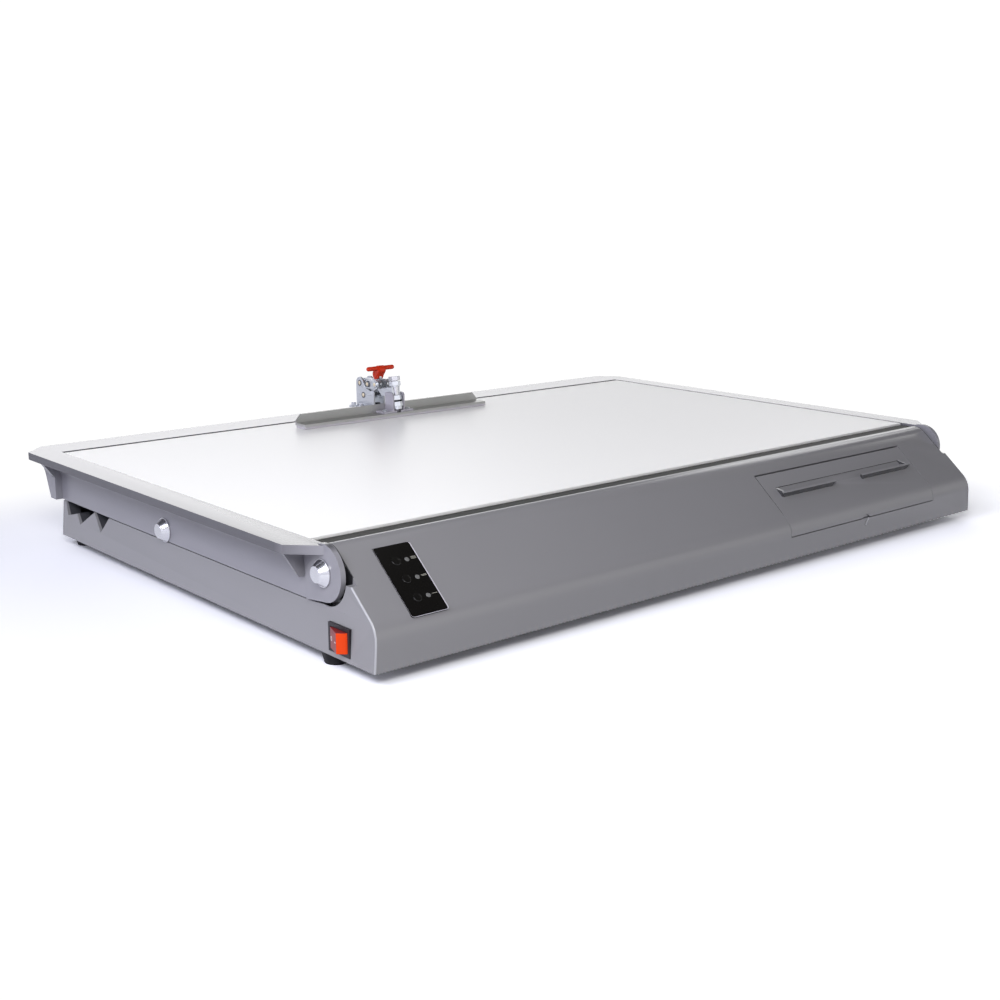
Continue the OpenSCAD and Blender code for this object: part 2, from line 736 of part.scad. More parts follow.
// Round cable through a list of points
module cable(points, r) {
    for (i = [0 : len(points) - 2]) {
        d = points[i + 1] - points[i];
        translate(points[i]) rotate([0, acos(d[2] / norm(d)), atan2(d[1], d[0])]) cylinder(r = r, h = norm(d), $fn = 24);
    }
    for (i = [1 : len(points) - 2]) translate(points[i]) sphere(r = r + 0.2, $fn = 24);
}

module mains_lead() {
    color([0.05, 0.05, 0.05]) placed()
        cable([[inlet_x, base_d - inlet_depth, lead_z], [inlet_x, base_d - inlet_depth - 14, lead_z],
               [lead_x, base_d - inlet_depth - 14, lead_z], [lead_x, board_y, lead_z],
               [coil_x, board_y, lead_z]], lead_r);
}

// Outline of the table's flange, seen from above
module rim_outline() {
    difference() {
        polygon([[-ear_in, taper_y], [-ear_x, taper_y], [-rim_x, rim_y0],
                 [-rim_x, total_d - rim_chamfer], [-rim_x + rim_chamfer, total_d],
                 [rim_x - rim_chamfer, total_d], [rim_x, total_d - rim_chamfer], [rim_x, rim_y0],
                 [ear_x, taper_y], [ear_in, taper_y]]);
        polygon([[-ear_in, taper_y - 9], [ear_in, taper_y - 9], [ear_in, beam_y],
                 [half_w - skirt, beam_y], [half_w - skirt, base_d], [-half_w + skirt, base_d],
                 [-half_w + skirt, beam_y], [-ear_in, beam_y]]);
    }
}

module top_frame() {
    color([0.58, 0.58, 0.61]) placed() difference() {
        union() {
            translate([0, 0, rim_z]) linear_extrude(rim_t) rim_outline();
            both_sides() {
                box(half_w - skirt, half_w, beam_y, rear_skirt_y, skirt_z, rim_z + 1);
                slab_x(ear_in, ear_x) {
                    translate(ear_c) circle(ear_r, $fn = 96);
                    polygon([[ear_c[0], ear_c[1] - ear_r], [proud_y, skirt_z + 0.8], [proud_y, top_z],
                             [ear_c[0], top_z]]);
                }
                slab_x(ear_in, half_w)
                    polygon([[proud_y - 1, skirt_z + 0.8], [beam_y + 1, skirt_z], [beam_y + 8, skirt_z],
                             [beam_y + 8, top_z], [proud_y - 1, top_z]]);
                box(ledge_x, half_w - skirt + 1, beam_y + 1, slot_y - 2, rim_z, sheet_under);
                for (y = cover_screw_y)
                    pin_z(cover_boss_x, y, insulation_z, rim_z + 1, cover_boss_r);
                translate([0, beam_y + 2.5, 0]) rotate([90, 0, 0]) linear_extrude(2.5)
                    polygon([[half_w - 1, 59.8], [half_w + 5.5, 59.8], [half_w + 20, rim_z - 3],
                             [half_w + 20, rim_z + 1], [half_w - 1, rim_z + 1]]);
                translate([0, rear_skirt_y + 6, 0]) rotate([90, 0, 0]) linear_extrude(8)
                    polygon([[half_w - 3, skirt_z], [half_w + 7.5, skirt_z], [half_w + 7.5, 66],
                             [half_w + 21, rim_z - 2], [half_w + 21, rim_z + 1], [half_w - 3, rim_z + 1]]);
                slab_x(half_w + 1.5, half_w + 7.5)
                    polygon([[rear_skirt_y + 2, skirt_z], [rear_skirt_y + 12, skirt_z], [rear_skirt_y + 23, 68],
                             [total_d - 6, rim_z + 1], [rear_skirt_y + 2, rim_z + 1]]);
            }
            box(-half_w + 1, half_w - 1, beam_y, beam_y + skirt, insulation_z - 12, sheet_under);
        }
        box(-sheet_x - seat_gap, sheet_x + seat_gap, sheet_y - seat_gap, slot_y + sheet_slot, sheet_under, top_z + 1);
        both_sides() pin_x(ear_in - 1, ear_x + 1, [pivot_y, pivot_z], pivot_r + snug_gap);
        both_sides() pin_x(half_w - skirt - 1, half_w + 1, [prop_y, prop_z], prop_bolt_r + snug_gap);
        both_sides() for (y = cover_screw_y)
            pin_z(cover_boss_x, y, insulation_z - 1, rim_z - 1, 1.55);
        for (x = [-clamp_bolt_x, clamp_bolt_x]) {
            pin_z(clamp_x + x, clamp_bolt_y[0], rim_z - 0.3, top_z + 1, clamp_bolt_r + 0.1);
            pin_z(clamp_x + x, clamp_bolt_y[1], rim_z - 1, top_z + 1, clamp_bolt_r + 0.1);
        }
    }
}

// Rear wall of the table frame, below its flange
module rear_skirt() {
    color([0.58, 0.58, 0.61]) placed()
        box(-half_w + skirt, half_w - skirt, base_d, rear_skirt_y, skirt_z, rim_z);
}

module flange_ribs() {
    color([0.58, 0.58, 0.61]) placed() both_sides() for (x = [rib_x, rib_x + rib_pitch])
        slab_x(x, x + rib_t)
            polygon([[rear_skirt_y, skirt_z + 8], [rear_skirt_y + 10, skirt_z + 8], [total_d - 8, rim_z],
                     [rear_skirt_y, rim_z]]);
}

module work_sheet() {
    color([0.95, 0.95, 0.94]) placed() box(-sheet_x, sheet_x, sheet_y, slot_y, sheet_under, sheet_z);
}

module heat_spreader() {
    color([0.8, 0.8, 0.82]) placed()
        box(-ledge_x + 0.5, ledge_x - 0.5, platen_y0, platen_y1, spreader_z, sheet_under);
}

module heater_mat() {
    color([0.75, 0.35, 0.2]) placed()
        box(-ledge_x + 6, ledge_x - 6, platen_y0 + 6, platen_y1 - 6, mat_z, spreader_z);
}

module insulation_board() {
    color([0.85, 0.82, 0.7]) placed() difference() {
        box(-ledge_x + 0.5, ledge_x - 0.5, platen_y0, platen_y1, insulation_z, mat_z);
        pin_z(cutout_x, cutout_y, mat_z - 7.2, mat_z + 1, 9);
        pin_z(cutout_x, cutout_y, insulation_z - 1, mat_z, lead_r + 0.5);
    }
}

module thermal_cutout() {
    color([0.75, 0.72, 0.65]) placed() {
        pin_z(cutout_x, cutout_y, mat_z - 6, mat_z, 8.5);
        pin_z(cutout_x, cutout_y, mat_z - 7, mat_z - 6, 5);
    }
}

module platen_cover() {
    color([0.6, 0.6, 0.6]) placed() difference() {
        box(-cover_x, cover_x, cover_y0, cover_y1, cover_z, insulation_z);
        both_sides() for (y = cover_screw_y) pin_z(cover_boss_x, y, cover_z - 1, insulation_z + 1, 2);
        pin_z(cutout_x, cutout_y, cover_z - 1, insulation_z + 1, lead_r + 0.5);
    }
}

module cover_screws() {
    color([0.7, 0.7, 0.72]) placed() both_sides() for (y = cover_screw_y)
        screw_z(cover_boss_x, y, cover_z, 1.5, 8, 3.2);
}

module heater_lead() {
    color([0.8, 0.3, 0.2]) placed()
        cable([[cutout_x, cutout_y, mat_z - 7], [cutout_x, cutout_y, heater_lead_z],
               [lead_x + 18, cutout_y, heater_lead_z], [lead_x + 18, beam_y + skirt, heater_lead_z]], lead_r);
}

// Bolt with a conical cap, its face against the plane at x_out
module cap_bolt(p, r, x_in, x_out) {
    pin_x(x_in, x_out, p, r);
    translate([x_out, p[0], p[1]]) rotate([0, 90, 0]) {
        cylinder(r = cap_r, h = 1.5);
        translate([0, 0, 1.5]) cylinder(r1 = cap_r - 0.4, r2 = cap_r * 0.59, h = cap_h - 1.5);
    }
}

module pivot_bolts() {
    color([0.86, 0.86, 0.88]) placed() both_sides()
        cap_bolt([pivot_y, pivot_z], pivot_r, cheek_x - boss_t - 9, ear_x);
}

module hex_x(x0, x1, p, af) {
    translate([x0, p[0], p[1]]) rotate([0, 90, 0]) cylinder(r = af / 2 / cos(30), h = x1 - x0, $fn = 6);
}

module pivot_nuts() {
    color([0.75, 0.75, 0.77]) placed() both_sides() difference() {
        hex_x(cheek_x - boss_t - 7.3, cheek_x - boss_t - 0.3, [pivot_y, pivot_z], 3 * pivot_r);
        pin_x(cheek_x - boss_t - 8, cheek_x, [pivot_y, pivot_z], pivot_r + snug_gap);
    }
}

module prop_bolts() {
    color([0.86, 0.86, 0.88]) placed() both_sides()
        cap_bolt([prop_y, prop_z], prop_bolt_r, arm_x - 9, half_w);
}

module prop_nuts() {
    color([0.75, 0.75, 0.77]) placed() both_sides() difference() {
        hex_x(arm_x - 7, arm_x - 0.3, [prop_y, prop_z], 3.25 * prop_bolt_r);
        pin_x(arm_x - 8, arm_x, [prop_y, prop_z], prop_bolt_r + snug_gap);
    }
}

module prop_spacers() {
    color([0.78, 0.78, 0.8]) placed() both_sides() difference() {
        pin_x(arm_x + arm_t + 0.3, half_w - skirt, [prop_y, prop_z], 1.75 * prop_bolt_r);
        pin_x(arm_x, half_w, [prop_y, prop_z], prop_bolt_r + snug_gap);
    }
}

function prop_end() = [prop_y + prop_len * cos(prop_angle), prop_rod_z];

module prop_arms() {
    color([0.7, 0.7, 0.72]) placed() both_sides() slab_x(arm_x, arm_x + arm_t) difference() {
        union() {
            bar2d([prop_y, prop_z], prop_end(), prop_foot_r);
            translate([prop_y, prop_z]) circle(prop_eye_r);
        }
        translate([prop_y, prop_z]) circle(prop_bolt_r + run_gap);
        translate(prop_end()) circle(rod_r + snug_gap);
    }
}

module prop_rod() {
    color([0.75, 0.75, 0.77]) placed() pin_x(-rod_x, rod_x, prop_end(), rod_r);
}

// Two side plates with feet, joined by a small bridge
module clamp_base() {
    plate_y1 = clamp_y + 37;
    color([0.8, 0.82, 0.86]) placed() translate([clamp_x, 0, 0]) difference() {
        union() {
            both_sides() {
                slab_x(base_plate_x, base_plate_x + clamp_plate) union() {
                    polygon([[base_d + 0.5, top_z], [plate_y1, top_z], [plate_y1, plate_z],
                             [clamp_y + 32, plate_z + 2], clamp_a + [8, 2], clamp_a + [0, 8],
                             [clamp_y + 16.5, top_z + 38.9], [clamp_y + 11, top_z + 31],
                             [clamp_y + 3, top_z + 28], [clamp_y - 7, top_z + 27.5], [clamp_y - 7, plate_z],
                             [base_d + 0.5, plate_z]]);
                    translate(clamp_a) circle(8);
                }
                box(base_plate_x, 21, base_d + 0.5, plate_y1, top_z, top_z + flange_t);
            }
            box(-base_plate_x - 1, base_plate_x + 1, clamp_y - 7, clamp_y + 3, plate_z, plate_z + 2.4);
        }
        pin_x(-far, far, clamp_a, clamp_pin_r + snug_gap);
        pin_x(-far, far, clamp_b, clamp_pin_r + snug_gap);
        for (x = [-clamp_bolt_x, clamp_bolt_x])
            for (y = clamp_bolt_y)
                pin_z(x, y, top_z - 1, top_z + 9, clamp_bolt_r + 0.1);
    }
}

module hex_z(x, y, z0, z1, af) {
    translate([x, y, z0]) rotate([0, 0, 30]) cylinder(r = af / 2 / cos(30), h = z1 - z0, $fn = 6);
}

// Front bolts screw into the flange; rear bolts go through it to a nut
module clamp_bolts() {
    seat_z = top_z + flange_t;
    color([0.8, 0.82, 0.84]) placed() translate([clamp_x, 0, 0])
        for (x = [-clamp_bolt_x, clamp_bolt_x]) {
            pin_z(x, clamp_bolt_y[0], rim_z, seat_z + 8.5, clamp_bolt_r);
            pin_z(x, clamp_bolt_y[1], rim_z - 6, seat_z + 8.5, clamp_bolt_r);
            hex_z(x, clamp_bolt_y[1], rim_z - 5, rim_z, 10);
            for (y = clamp_bolt_y) hex_z(x, y, seat_z, seat_z + 5, 10);
        }
}

module clamp_rivets() {
    color([0.8, 0.75, 0.6]) placed() translate([clamp_x, 0, 0]) for (p = [clamp_a, clamp_b]) {
        x = base_plate_x + clamp_plate;
        pin_x(-x, x, p, clamp_pin_r);
        both_sides() pin_x(x, x + 0.35, p, head_r);
    }
}

module arm_bumper() {
    color([0.05, 0.06, 0.07]) placed() pin_z(clamp_x, clamp_y - 2.5, plate_z + 2.4, plate_z + 9.8, 3.8);
}

// Turns pieces drawn along the spindle, from its foot on the bracket, to the spindle's lean
module leaning() {
    translate([clamp_x, spindle_y, bracket_z]) rotate([-arm_tilt, 0, 0]) children();
}

// Point of the side view at y and t in the leaning spindle's own frame
function lean_pt(y, t) = [spindle_y + y * cos(arm_tilt) + t * sin(arm_tilt),
                          bracket_z - y * sin(arm_tilt) + t * cos(arm_tilt)];

module clamp_arm() {
    color([0.78, 0.8, 0.84]) placed() difference() {
        union() {
            translate([clamp_x, 0, 0]) both_sides() slab_x(clamp_arm_x, clamp_arm_x + clamp_plate) {
                bar2d(clamp_b, clamp_d, 4);
                translate(clamp_b) circle(4.8);
                translate(clamp_d) circle(4.8);
                polygon([lean_pt(-1.5, arm_t0), lean_pt(22, arm_t0), clamp_d + [4.5, -4.4],
                         clamp_d + [2, 4.4], lean_pt(24, arm_t1), lean_pt(-1.5, arm_t1)]);
            }
            leaning() box(-clamp_arm_x - 1, clamp_arm_x + 1, 9, 19, arm_t0 + 2, arm_t1 - 2);
        }
        translate([clamp_x, 0, 0]) pin_x(-far, far, clamp_b, clamp_pin_r + run_gap);
    }
}

module spindle() {
    color([0.85, 0.86, 0.88]) placed() leaning() {
        pin_z(0, 0, 0.9, spindle_head_t + 1, spindle_r);
        hex_z(0, 0, spindle_head_t, spindle_head_t + spindle_head_h, nut_af);
    }
}

// Leaning ring round the spindle
module spindle_ring(t0, t1, r) {
    difference() {
        pin_z(0, 0, t0, t1, r);
        pin_z(0, 0, t0 - 1, t1 + 1, spindle_r + snug_gap);
    }
}

module spindle_nuts() {
    color([0.85, 0.86, 0.88]) placed() leaning() for (t = nut_t)
        difference() {
            hex_z(0, 0, t, t + nut_h, nut_af);
            pin_z(0, 0, t - 1, t + nut_h + 1, spindle_r + snug_gap);
        }
}

module spindle_washers() {
    color([0.82, 0.84, 0.86]) placed() leaning() {
        spindle_ring(foot_bush_t0, nut_t[0], 6);
        spindle_ring(arm_t0 - 0.5, arm_t0, 6.2);
        spindle_ring(arm_t1, arm_t1 + washer_t, 6.2);
    }
}

module spindle_cushion() {
    color([0.05, 0.05, 0.05]) placed() leaning() spindle_ring(ring_t[0], ring_t[1], 6.4);
}

module bar_bracket() {
    color([0.72, 0.71, 0.75]) placed() translate([clamp_x, bar_y + 1.5, 0]) difference() {
        union() {
            box(-bracket_w / 2, bracket_w / 2, 0, bracket_d, bar_top, bracket_z);
            both_sides() slab_x(bracket_wall_x, bracket_wall_x + 2)
                polygon([[0, bar_top + 1], [bracket_d, bar_top + 1], [bracket_d, bar_top + bracket_h - 1.5],
                         [bracket_d - 1.5, bar_top + bracket_h], [2.5, bar_top + bracket_h],
                         [0, bar_top + bracket_h - 3]]);
        }
        pin_z(0, spindle_y - bar_y - 1.5, bar_top - 1, bracket_z + 1, spindle_r + 0.1);
        for (x = [-bar_rivet_x, bar_rivet_x])
            pin_z(x, bar_rivet_y - 1.5, bar_top - 1, bracket_z + 1, 2 + snug_gap);
    }
}

module bar_rivets() {
    color([0.85, 0.86, 0.88]) placed() for (x = [-bar_rivet_x, bar_rivet_x]) {
        pin_z(clamp_x + x, bar_y + bar_rivet_y, bar_z, bracket_z, 2);
        translate([clamp_x + x, bar_y + bar_rivet_y, bracket_z]) intersection() {
            translate([0, 0, -1.5]) sphere(r = 4);
            cylinder(r = 4, h = 4);
        }
    }
}

module clamp_bar() {
    color([0.6, 0.6, 0.59]) placed() difference() {
        union() {
            box(clamp_x - bar_l / 2, clamp_x + bar_l / 2, bar_y, bar_y + bar_d, bar_z, bar_top);
            translate([clamp_x, bar_y + bar_d, bar_z]) rotate([90, 0, 0]) linear_extrude(bar_t)
                polygon([[-bar_l / 2, 0], [bar_l / 2, 0], [bar_l / 2, bar_t + bar_web - 7.5],
                         [bar_l / 2 - 7, bar_t + bar_web], [-bar_l / 2 + 7, bar_t + bar_web],
                         [-bar_l / 2, bar_t + bar_web - 7.5]]);
        }
        for (x = [-bar_rivet_x, bar_rivet_x])
            pin_z(clamp_x + x, bar_y + bar_rivet_y, bar_z - 1, bar_top + 1, 2 + snug_gap);
    }
}

module bar_strip() {
    color([0.35, 0.35, 0.35]) placed()
        box(clamp_x - bar_l / 2, clamp_x + bar_l / 2, bar_y, bar_y + bar_d - 2, bar_strip_z, bar_z);
}

module handle_lever() {
    color([0.8, 0.81, 0.84]) placed() translate([clamp_x, 0, 0]) difference() {
        slab_x(-1.6, 1.6) {
            bar2d(clamp_a, clamp_c, 6.2);
            bar2d(clamp_c, grip_low - [0, 3], 5.5);
            bar2d(grip_low - [0, 3], grip_top - [0, 3], 4);
        }
        pin_x(-far, far, clamp_a, clamp_pin_r + run_gap);
        pin_x(-far, far, clamp_c, clamp_pin_r + snug_gap);
    }
}

module handle_grip() {
    color([0.85, 0.2, 0.08]) placed() translate([clamp_x, 0, 0]) difference() {
        union() {
            slab_x(-4.6, 4.6) bar2d(grip_low, grip_top - [0, 2], 5.5);
            slab_x(-5.6, 5.6) bar2d(grip_low + [0, 1.5], grip_top - [0, 2], 4.5);
            pin_x(-18.5, 18.5, grip_top, 2.9);
            for (x = [-18.5, 18.5]) translate([x, grip_top[0], grip_top[1]]) sphere(r = 2.9);
        }
        slab_x(-1.6 - snug_gap, 1.6 + snug_gap) {
            bar2d(clamp_c, grip_low - [0, 3], 5.5 + snug_gap);
            bar2d(grip_low - [0, 3], grip_top - [0, 3], 4 + snug_gap);
        }
    }
}

module handle_rivet() {
    color([0.8, 0.75, 0.6]) placed() translate([clamp_x, 0, 0]) {
        x = link_x + clamp_plate;
        pin_x(-x, x, clamp_c, clamp_pin_r);
        both_sides() pin_x(x + 0.1, x + head_t, clamp_c, head_r);
        both_sides() pin_x(x - 0.1, x + 0.2, clamp_c, clamp_pin_r);
        both_sides() pin_x(1.62, 4, clamp_c, 4);
    }
}

module clamp_links() {
    color([0.82, 0.83, 0.86]) placed() translate([clamp_x, 0, 0]) both_sides() difference() {
        union() {
            slab_x(link_x, link_x + clamp_plate) bar2d(clamp_c, clamp_d, 6);
            pin_x(link_x + 1, link_x + clamp_plate + head_t, clamp_d, head_r);
        }
        pin_x(0, far, clamp_c, clamp_pin_r + run_gap);
    }
}

base_housing();
base_plate();
feet();
base_screws();
control_panel();
led_lenses();
control_board();
switch_body();
power_board();
inlet_socket();
inlet_screws();
tool_bin();
pivot_bushes();
hinge_strip();
mains_lead();
top_frame();
rear_skirt();
flange_ribs();
work_sheet();
heat_spreader();
heater_mat();
insulation_board();
platen_cover();
cover_screws();
pivot_bolts();
pivot_nuts();
prop_bolts();
prop_nuts();
prop_spacers();
thermal_cutout();
heater_lead();
clamp_base();
clamp_bolts();
clamp_rivets();
arm_bumper();
prop_arms();
prop_rod();
tool_door();
door_pins();
rocker();
button_1();
button_2();
button_3();
clamp_arm();
spindle();
spindle_nuts();
spindle_washers();
spindle_cushion();
bar_bracket();
bar_rivets();
clamp_bar();
bar_strip();
handle_lever();
handle_grip();
handle_rivet();
clamp_links();
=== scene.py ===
"""Dresses a vinyl weeding table: a heated work table that tilts on a tray base with a sloped console."""

import math

import bmesh
import bpy
from mathutils import Matrix, Vector


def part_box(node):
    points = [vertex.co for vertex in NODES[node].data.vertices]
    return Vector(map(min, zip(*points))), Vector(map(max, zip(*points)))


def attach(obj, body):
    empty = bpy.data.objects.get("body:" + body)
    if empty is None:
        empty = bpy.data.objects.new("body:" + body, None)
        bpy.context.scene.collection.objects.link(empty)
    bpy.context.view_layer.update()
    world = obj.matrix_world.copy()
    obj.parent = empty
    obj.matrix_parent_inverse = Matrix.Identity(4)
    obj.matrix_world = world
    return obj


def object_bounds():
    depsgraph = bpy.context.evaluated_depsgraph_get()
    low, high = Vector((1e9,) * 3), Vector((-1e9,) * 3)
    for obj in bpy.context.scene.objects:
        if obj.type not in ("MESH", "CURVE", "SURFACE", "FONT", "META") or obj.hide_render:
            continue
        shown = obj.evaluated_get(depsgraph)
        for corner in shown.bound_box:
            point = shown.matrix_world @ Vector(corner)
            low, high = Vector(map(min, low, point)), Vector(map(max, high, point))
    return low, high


bl_info = {
    "name": "Weeding Table",
    "version": (1, 0, 0),
    "blender": (4, 5, 0),
    "location": "View3D > Sidebar > Table",
    "description": "Dresses a tilting weeding table and sets up its studio",
    "category": "Object",
}

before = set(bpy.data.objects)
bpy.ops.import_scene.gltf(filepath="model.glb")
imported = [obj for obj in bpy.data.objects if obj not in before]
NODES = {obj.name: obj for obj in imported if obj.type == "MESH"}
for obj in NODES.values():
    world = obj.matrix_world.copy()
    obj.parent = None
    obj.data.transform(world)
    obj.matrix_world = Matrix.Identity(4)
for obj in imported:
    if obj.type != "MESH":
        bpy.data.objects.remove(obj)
CAD_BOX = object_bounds()
MM = 0.001


# Sizes and colours that a user would change

def size_prop(name, text, default):
    return bpy.props.FloatProperty(name=name, description=text, default=default, unit="LENGTH", precision=5)


def colour_prop(name, text, default):
    return bpy.props.FloatVectorProperty(
        name=name, description=text, default=default, size=3, subtype="COLOR", min=0.0, max=1.0
    )


def angle_prop(name, text, degrees):
    return bpy.props.FloatProperty(
        name=name, description=text, default=math.radians(degrees), subtype="ANGLE", unit="ROTATION"
    )


def power_prop(name, text, default):
    return bpy.props.FloatProperty(name=name, description=text, default=default, subtype="POWER")


def share_prop(name, text, default):
    return bpy.props.FloatProperty(name=name, description=text, default=default)


class TableFinishes(bpy.types.PropertyGroup):
    """Colours of the table's materials."""

    housing: colour_prop("Housing", "Moulded housing and tool door", (0.258, 0.254, 0.264))
    table_frame: colour_prop("Table frame", "Moulded flange and skirts", (0.275, 0.270, 0.295))
    sheet: colour_prop("Work sheet", "White work sheet", (0.90, 0.893, 0.875))
    strip: colour_prop("Strip", "Strip behind the console", (0.030, 0.030, 0.028))
    panel: colour_prop("Panel", "Control panel's black face", (0.006, 0.0055, 0.005))
    marks: colour_prop("Marks", "Level bars beside the lamps", (0.30, 0.29, 0.25))
    # The rocker's lit end is a painted glow: this colour stands in for the light of the lamp inside.
    rocker: colour_prop("Rocker", "Lit end of the translucent power rocker", (0.85, 0.06, 0.003))
    rocker_face: colour_prop("Rocker face", "Marked face of the power rocker", (0.22, 0.017, 0.018))
    grip: colour_prop("Grip", "Red grip of the clamp", (0.55, 0.028, 0.004))
    zinc: colour_prop("Zinc", "Zinc-plated steel", (0.62, 0.64, 0.67))
    polished: colour_prop("Polished steel", "Bolt caps and spindle", (0.60, 0.60, 0.62))
    aluminium: colour_prop("Aluminium", "Brushed clamp bar", (0.42, 0.42, 0.41))
    rubber: colour_prop("Rubber", "Feet, bumper and cushion", (0.006, 0.006, 0.008))


class TableSizes(bpy.types.PropertyGroup):
    """Sizes of the details that the dressing adds."""

    mould_edge: size_prop("Moulded edge", "Rounding of moulded edges", 0.8 * MM)
    console_edge: size_prop("Console edge", "Rounding of the console's outer side edges", 2.4 * MM)
    metal_edge: size_prop("Metal edge", "Rounding of sheared and turned edges", 0.25 * MM)
    # Width of the painted highlight on the panel's edge.
    panel_edge_highlight: size_prop("Panel edge highlight", "Width of the panel's pale right edge", 1.0 * MM)
    bar_long: size_prop("Bar length", "Length of a level bar", 5.4 * MM)
    bar_wide: size_prop("Bar width", "Width of a level bar", 0.5 * MM)


class StudioSettings(bpy.types.PropertyGroup):
    """Camera, floor and lights."""

    camera_at: bpy.props.FloatVectorProperty(
        name="Camera", description="Place of the camera", default=(-1.05518, -1.19345, 0.40350),
        size=3, subtype="TRANSLATION", unit="LENGTH"
    )
    heading: angle_prop("Heading", "Camera's heading, clockwise from +Y", 40.659)
    pitch: angle_prop("Pitch", "Camera's pitch above the horizon", -13.072)
    lens: bpy.props.FloatProperty(
        name="Lens", description="Focal length", default=50.119, subtype="DISTANCE_CAMERA"
    )
    floor_size: size_prop("Floor", "Side of the floor", 30.0)
    floor_near: size_prop("Near floor", "How far from the table the floor keeps its shadows", 0.32)
    front_fade: share_prop("Front fade", "How much sooner the floor turns white ahead of the table", 3.0)
    floor_bounce: share_prop("Bounce", "Share of the light that the floor throws back on the table", 0.3)
    floor_gain: share_prop("Gain", "Brightness of the floor at the left", 1.15)
    # Painted light: the floor's colour is brightened towards the right to make up for the weaker lamplight
    # there.
    floor_painted_light_right: share_prop("Gain at right", "Floor at the right, as a share of that at the left", 1.75)
    top_power: power_prop("Overhead", "Power of the overhead lamp", 3.8)
    key_power: power_prop("Key", "Power of the lamp at the front left", 13.5)
    side_power: power_prop("Side", "Power of the cool lamp at the left", 16.0)
    back_power: power_prop("Back", "Power of the lamp behind the table", 5.0)
    rim_power: power_prop("Rim", "Power of the small lamp that the console's crest reflects", 1.8)
    low_fill: share_prop("Low fill", "Strength of the light from near the horizon", 2.1)
    high_fill: share_prop("High fill", "Strength of the light from above", 0.02)
    front_share: share_prop("Front share", "Fill from the front, as a share of that from behind", 0.6)
    right_share: share_prop("Right share", "Fill from the right, as a share of that from the left", 0.8)


# Node groups that more than one material uses

def new_group(name, inputs, outputs):
    group = bpy.data.node_groups.new(name, "ShaderNodeTree")
    for label, kind, value in inputs:
        socket = group.interface.new_socket(label, in_out="INPUT", socket_type=kind)
        if value is not None:
            socket.default_value = value
    for label, kind in outputs:
        group.interface.new_socket(label, in_out="OUTPUT", socket_type=kind)
    return group, group.nodes.new("NodeGroupInput"), group.nodes.new("NodeGroupOutput")


def add(tree, kind, **settings):
    """A new node with the given attributes and, for names that are sockets, values."""
    made = tree.nodes.new(kind)
    for key, value in settings.items():
        if hasattr(made, key):
            setattr(made, key, value)
        else:
            made.inputs[key.replace("_", " ")].default_value = value
    return made


def feed(tree, socket, value):
    """Links a socket to another one, or sets it to a constant."""
    if isinstance(value, bpy.types.NodeSocket):
        tree.links.new(value, socket)
    else:
        socket.default_value = value


def math_node(tree, operation, a, b=0.0):
    made = add(tree, "ShaderNodeMath", operation=operation)
    for socket, value in zip(made.inputs, (a, b)):
        feed(tree, socket, value)
    return made.outputs[0]


def absolute(tree, value):
    return math_node(tree, "ABSOLUTE", value)


def length(tree, *sides):
    """Length of the vector that has the given two sides."""
    squares = [math_node(tree, "MULTIPLY", side, side) for side in sides]
    return math_node(tree, "SQRT", math_node(tree, "ADD", *squares))


def ramp(tree, value, low, high, start=0.0, end=1.0, shape="LINEAR"):
    """Maps a value from low..high to start..end, and holds it at both ends."""
    made = add(tree, "ShaderNodeMapRange", interpolation_type=shape)
    for label, number in (("From Min", low), ("From Max", high), ("To Min", start), ("To Max", end)):
        made.inputs[label].default_value = number
    tree.links.new(value, made.inputs["Value"])
    return made.outputs["Result"]


def mix_colour(tree, factor, a, b):
    made = add(tree, "ShaderNodeMix", data_type="RGBA")
    for index, value in ((0, factor), (6, a), (7, b)):
        feed(tree, made.inputs[index], value)
    return made.outputs[2]


def mix_number(tree, factor, a, b):
    made = add(tree, "ShaderNodeMix", data_type="FLOAT")
    for index, value in ((0, factor), (2, a), (3, b)):
        feed(tree, made.inputs[index], value)
    return made.outputs[0]


def scale_colour(tree, colour, gain):
    """A colour times a number, with no limit at white."""
    made = add(tree, "ShaderNodeVectorMath", operation="SCALE")
    feed(tree, made.inputs[0], colour)
    tree.links.new(gain, made.inputs["Scale"])
    return made.outputs[0]


def grain_group():
    """Fine moulded grain: a colour that drifts a little, and a height for the bump."""
    group, given, made = new_group(
        "Moulded grain",
        [("Colour", "NodeSocketColor", (0.5, 0.5, 0.5, 1)), ("Drift", "NodeSocketFloat", 0.04),
         ("Grain", "NodeSocketFloat", 900.0)],
        [("Colour", "NodeSocketColor"), ("Height", "NodeSocketFloat"),
         ("Roughness drift", "NodeSocketFloat")],
    )
    place = add(group, "ShaderNodeTexCoord")
    wide = add(group, "ShaderNodeTexNoise", Scale=7.0, Detail=3.0)
    fine = add(group, "ShaderNodeTexNoise", Detail=2.0)
    group.links.new(place.outputs["Object"], wide.inputs["Vector"])
    group.links.new(place.outputs["Object"], fine.inputs["Vector"])
    group.links.new(given.outputs["Grain"], fine.inputs["Scale"])
    centred = math_node(group, "SUBTRACT", wide.outputs["Fac"], 0.5)
    swing = math_node(group, "MULTIPLY", centred, given.outputs["Drift"])
    gain = math_node(group, "ADD", math_node(group, "MULTIPLY", swing, 2.0), 1.0)
    group.links.new(scale_colour(group, given.outputs["Colour"], gain), made.inputs["Colour"])
    group.links.new(fine.outputs["Fac"], made.inputs["Height"])
    group.links.new(swing, made.inputs["Roughness drift"])
    return group


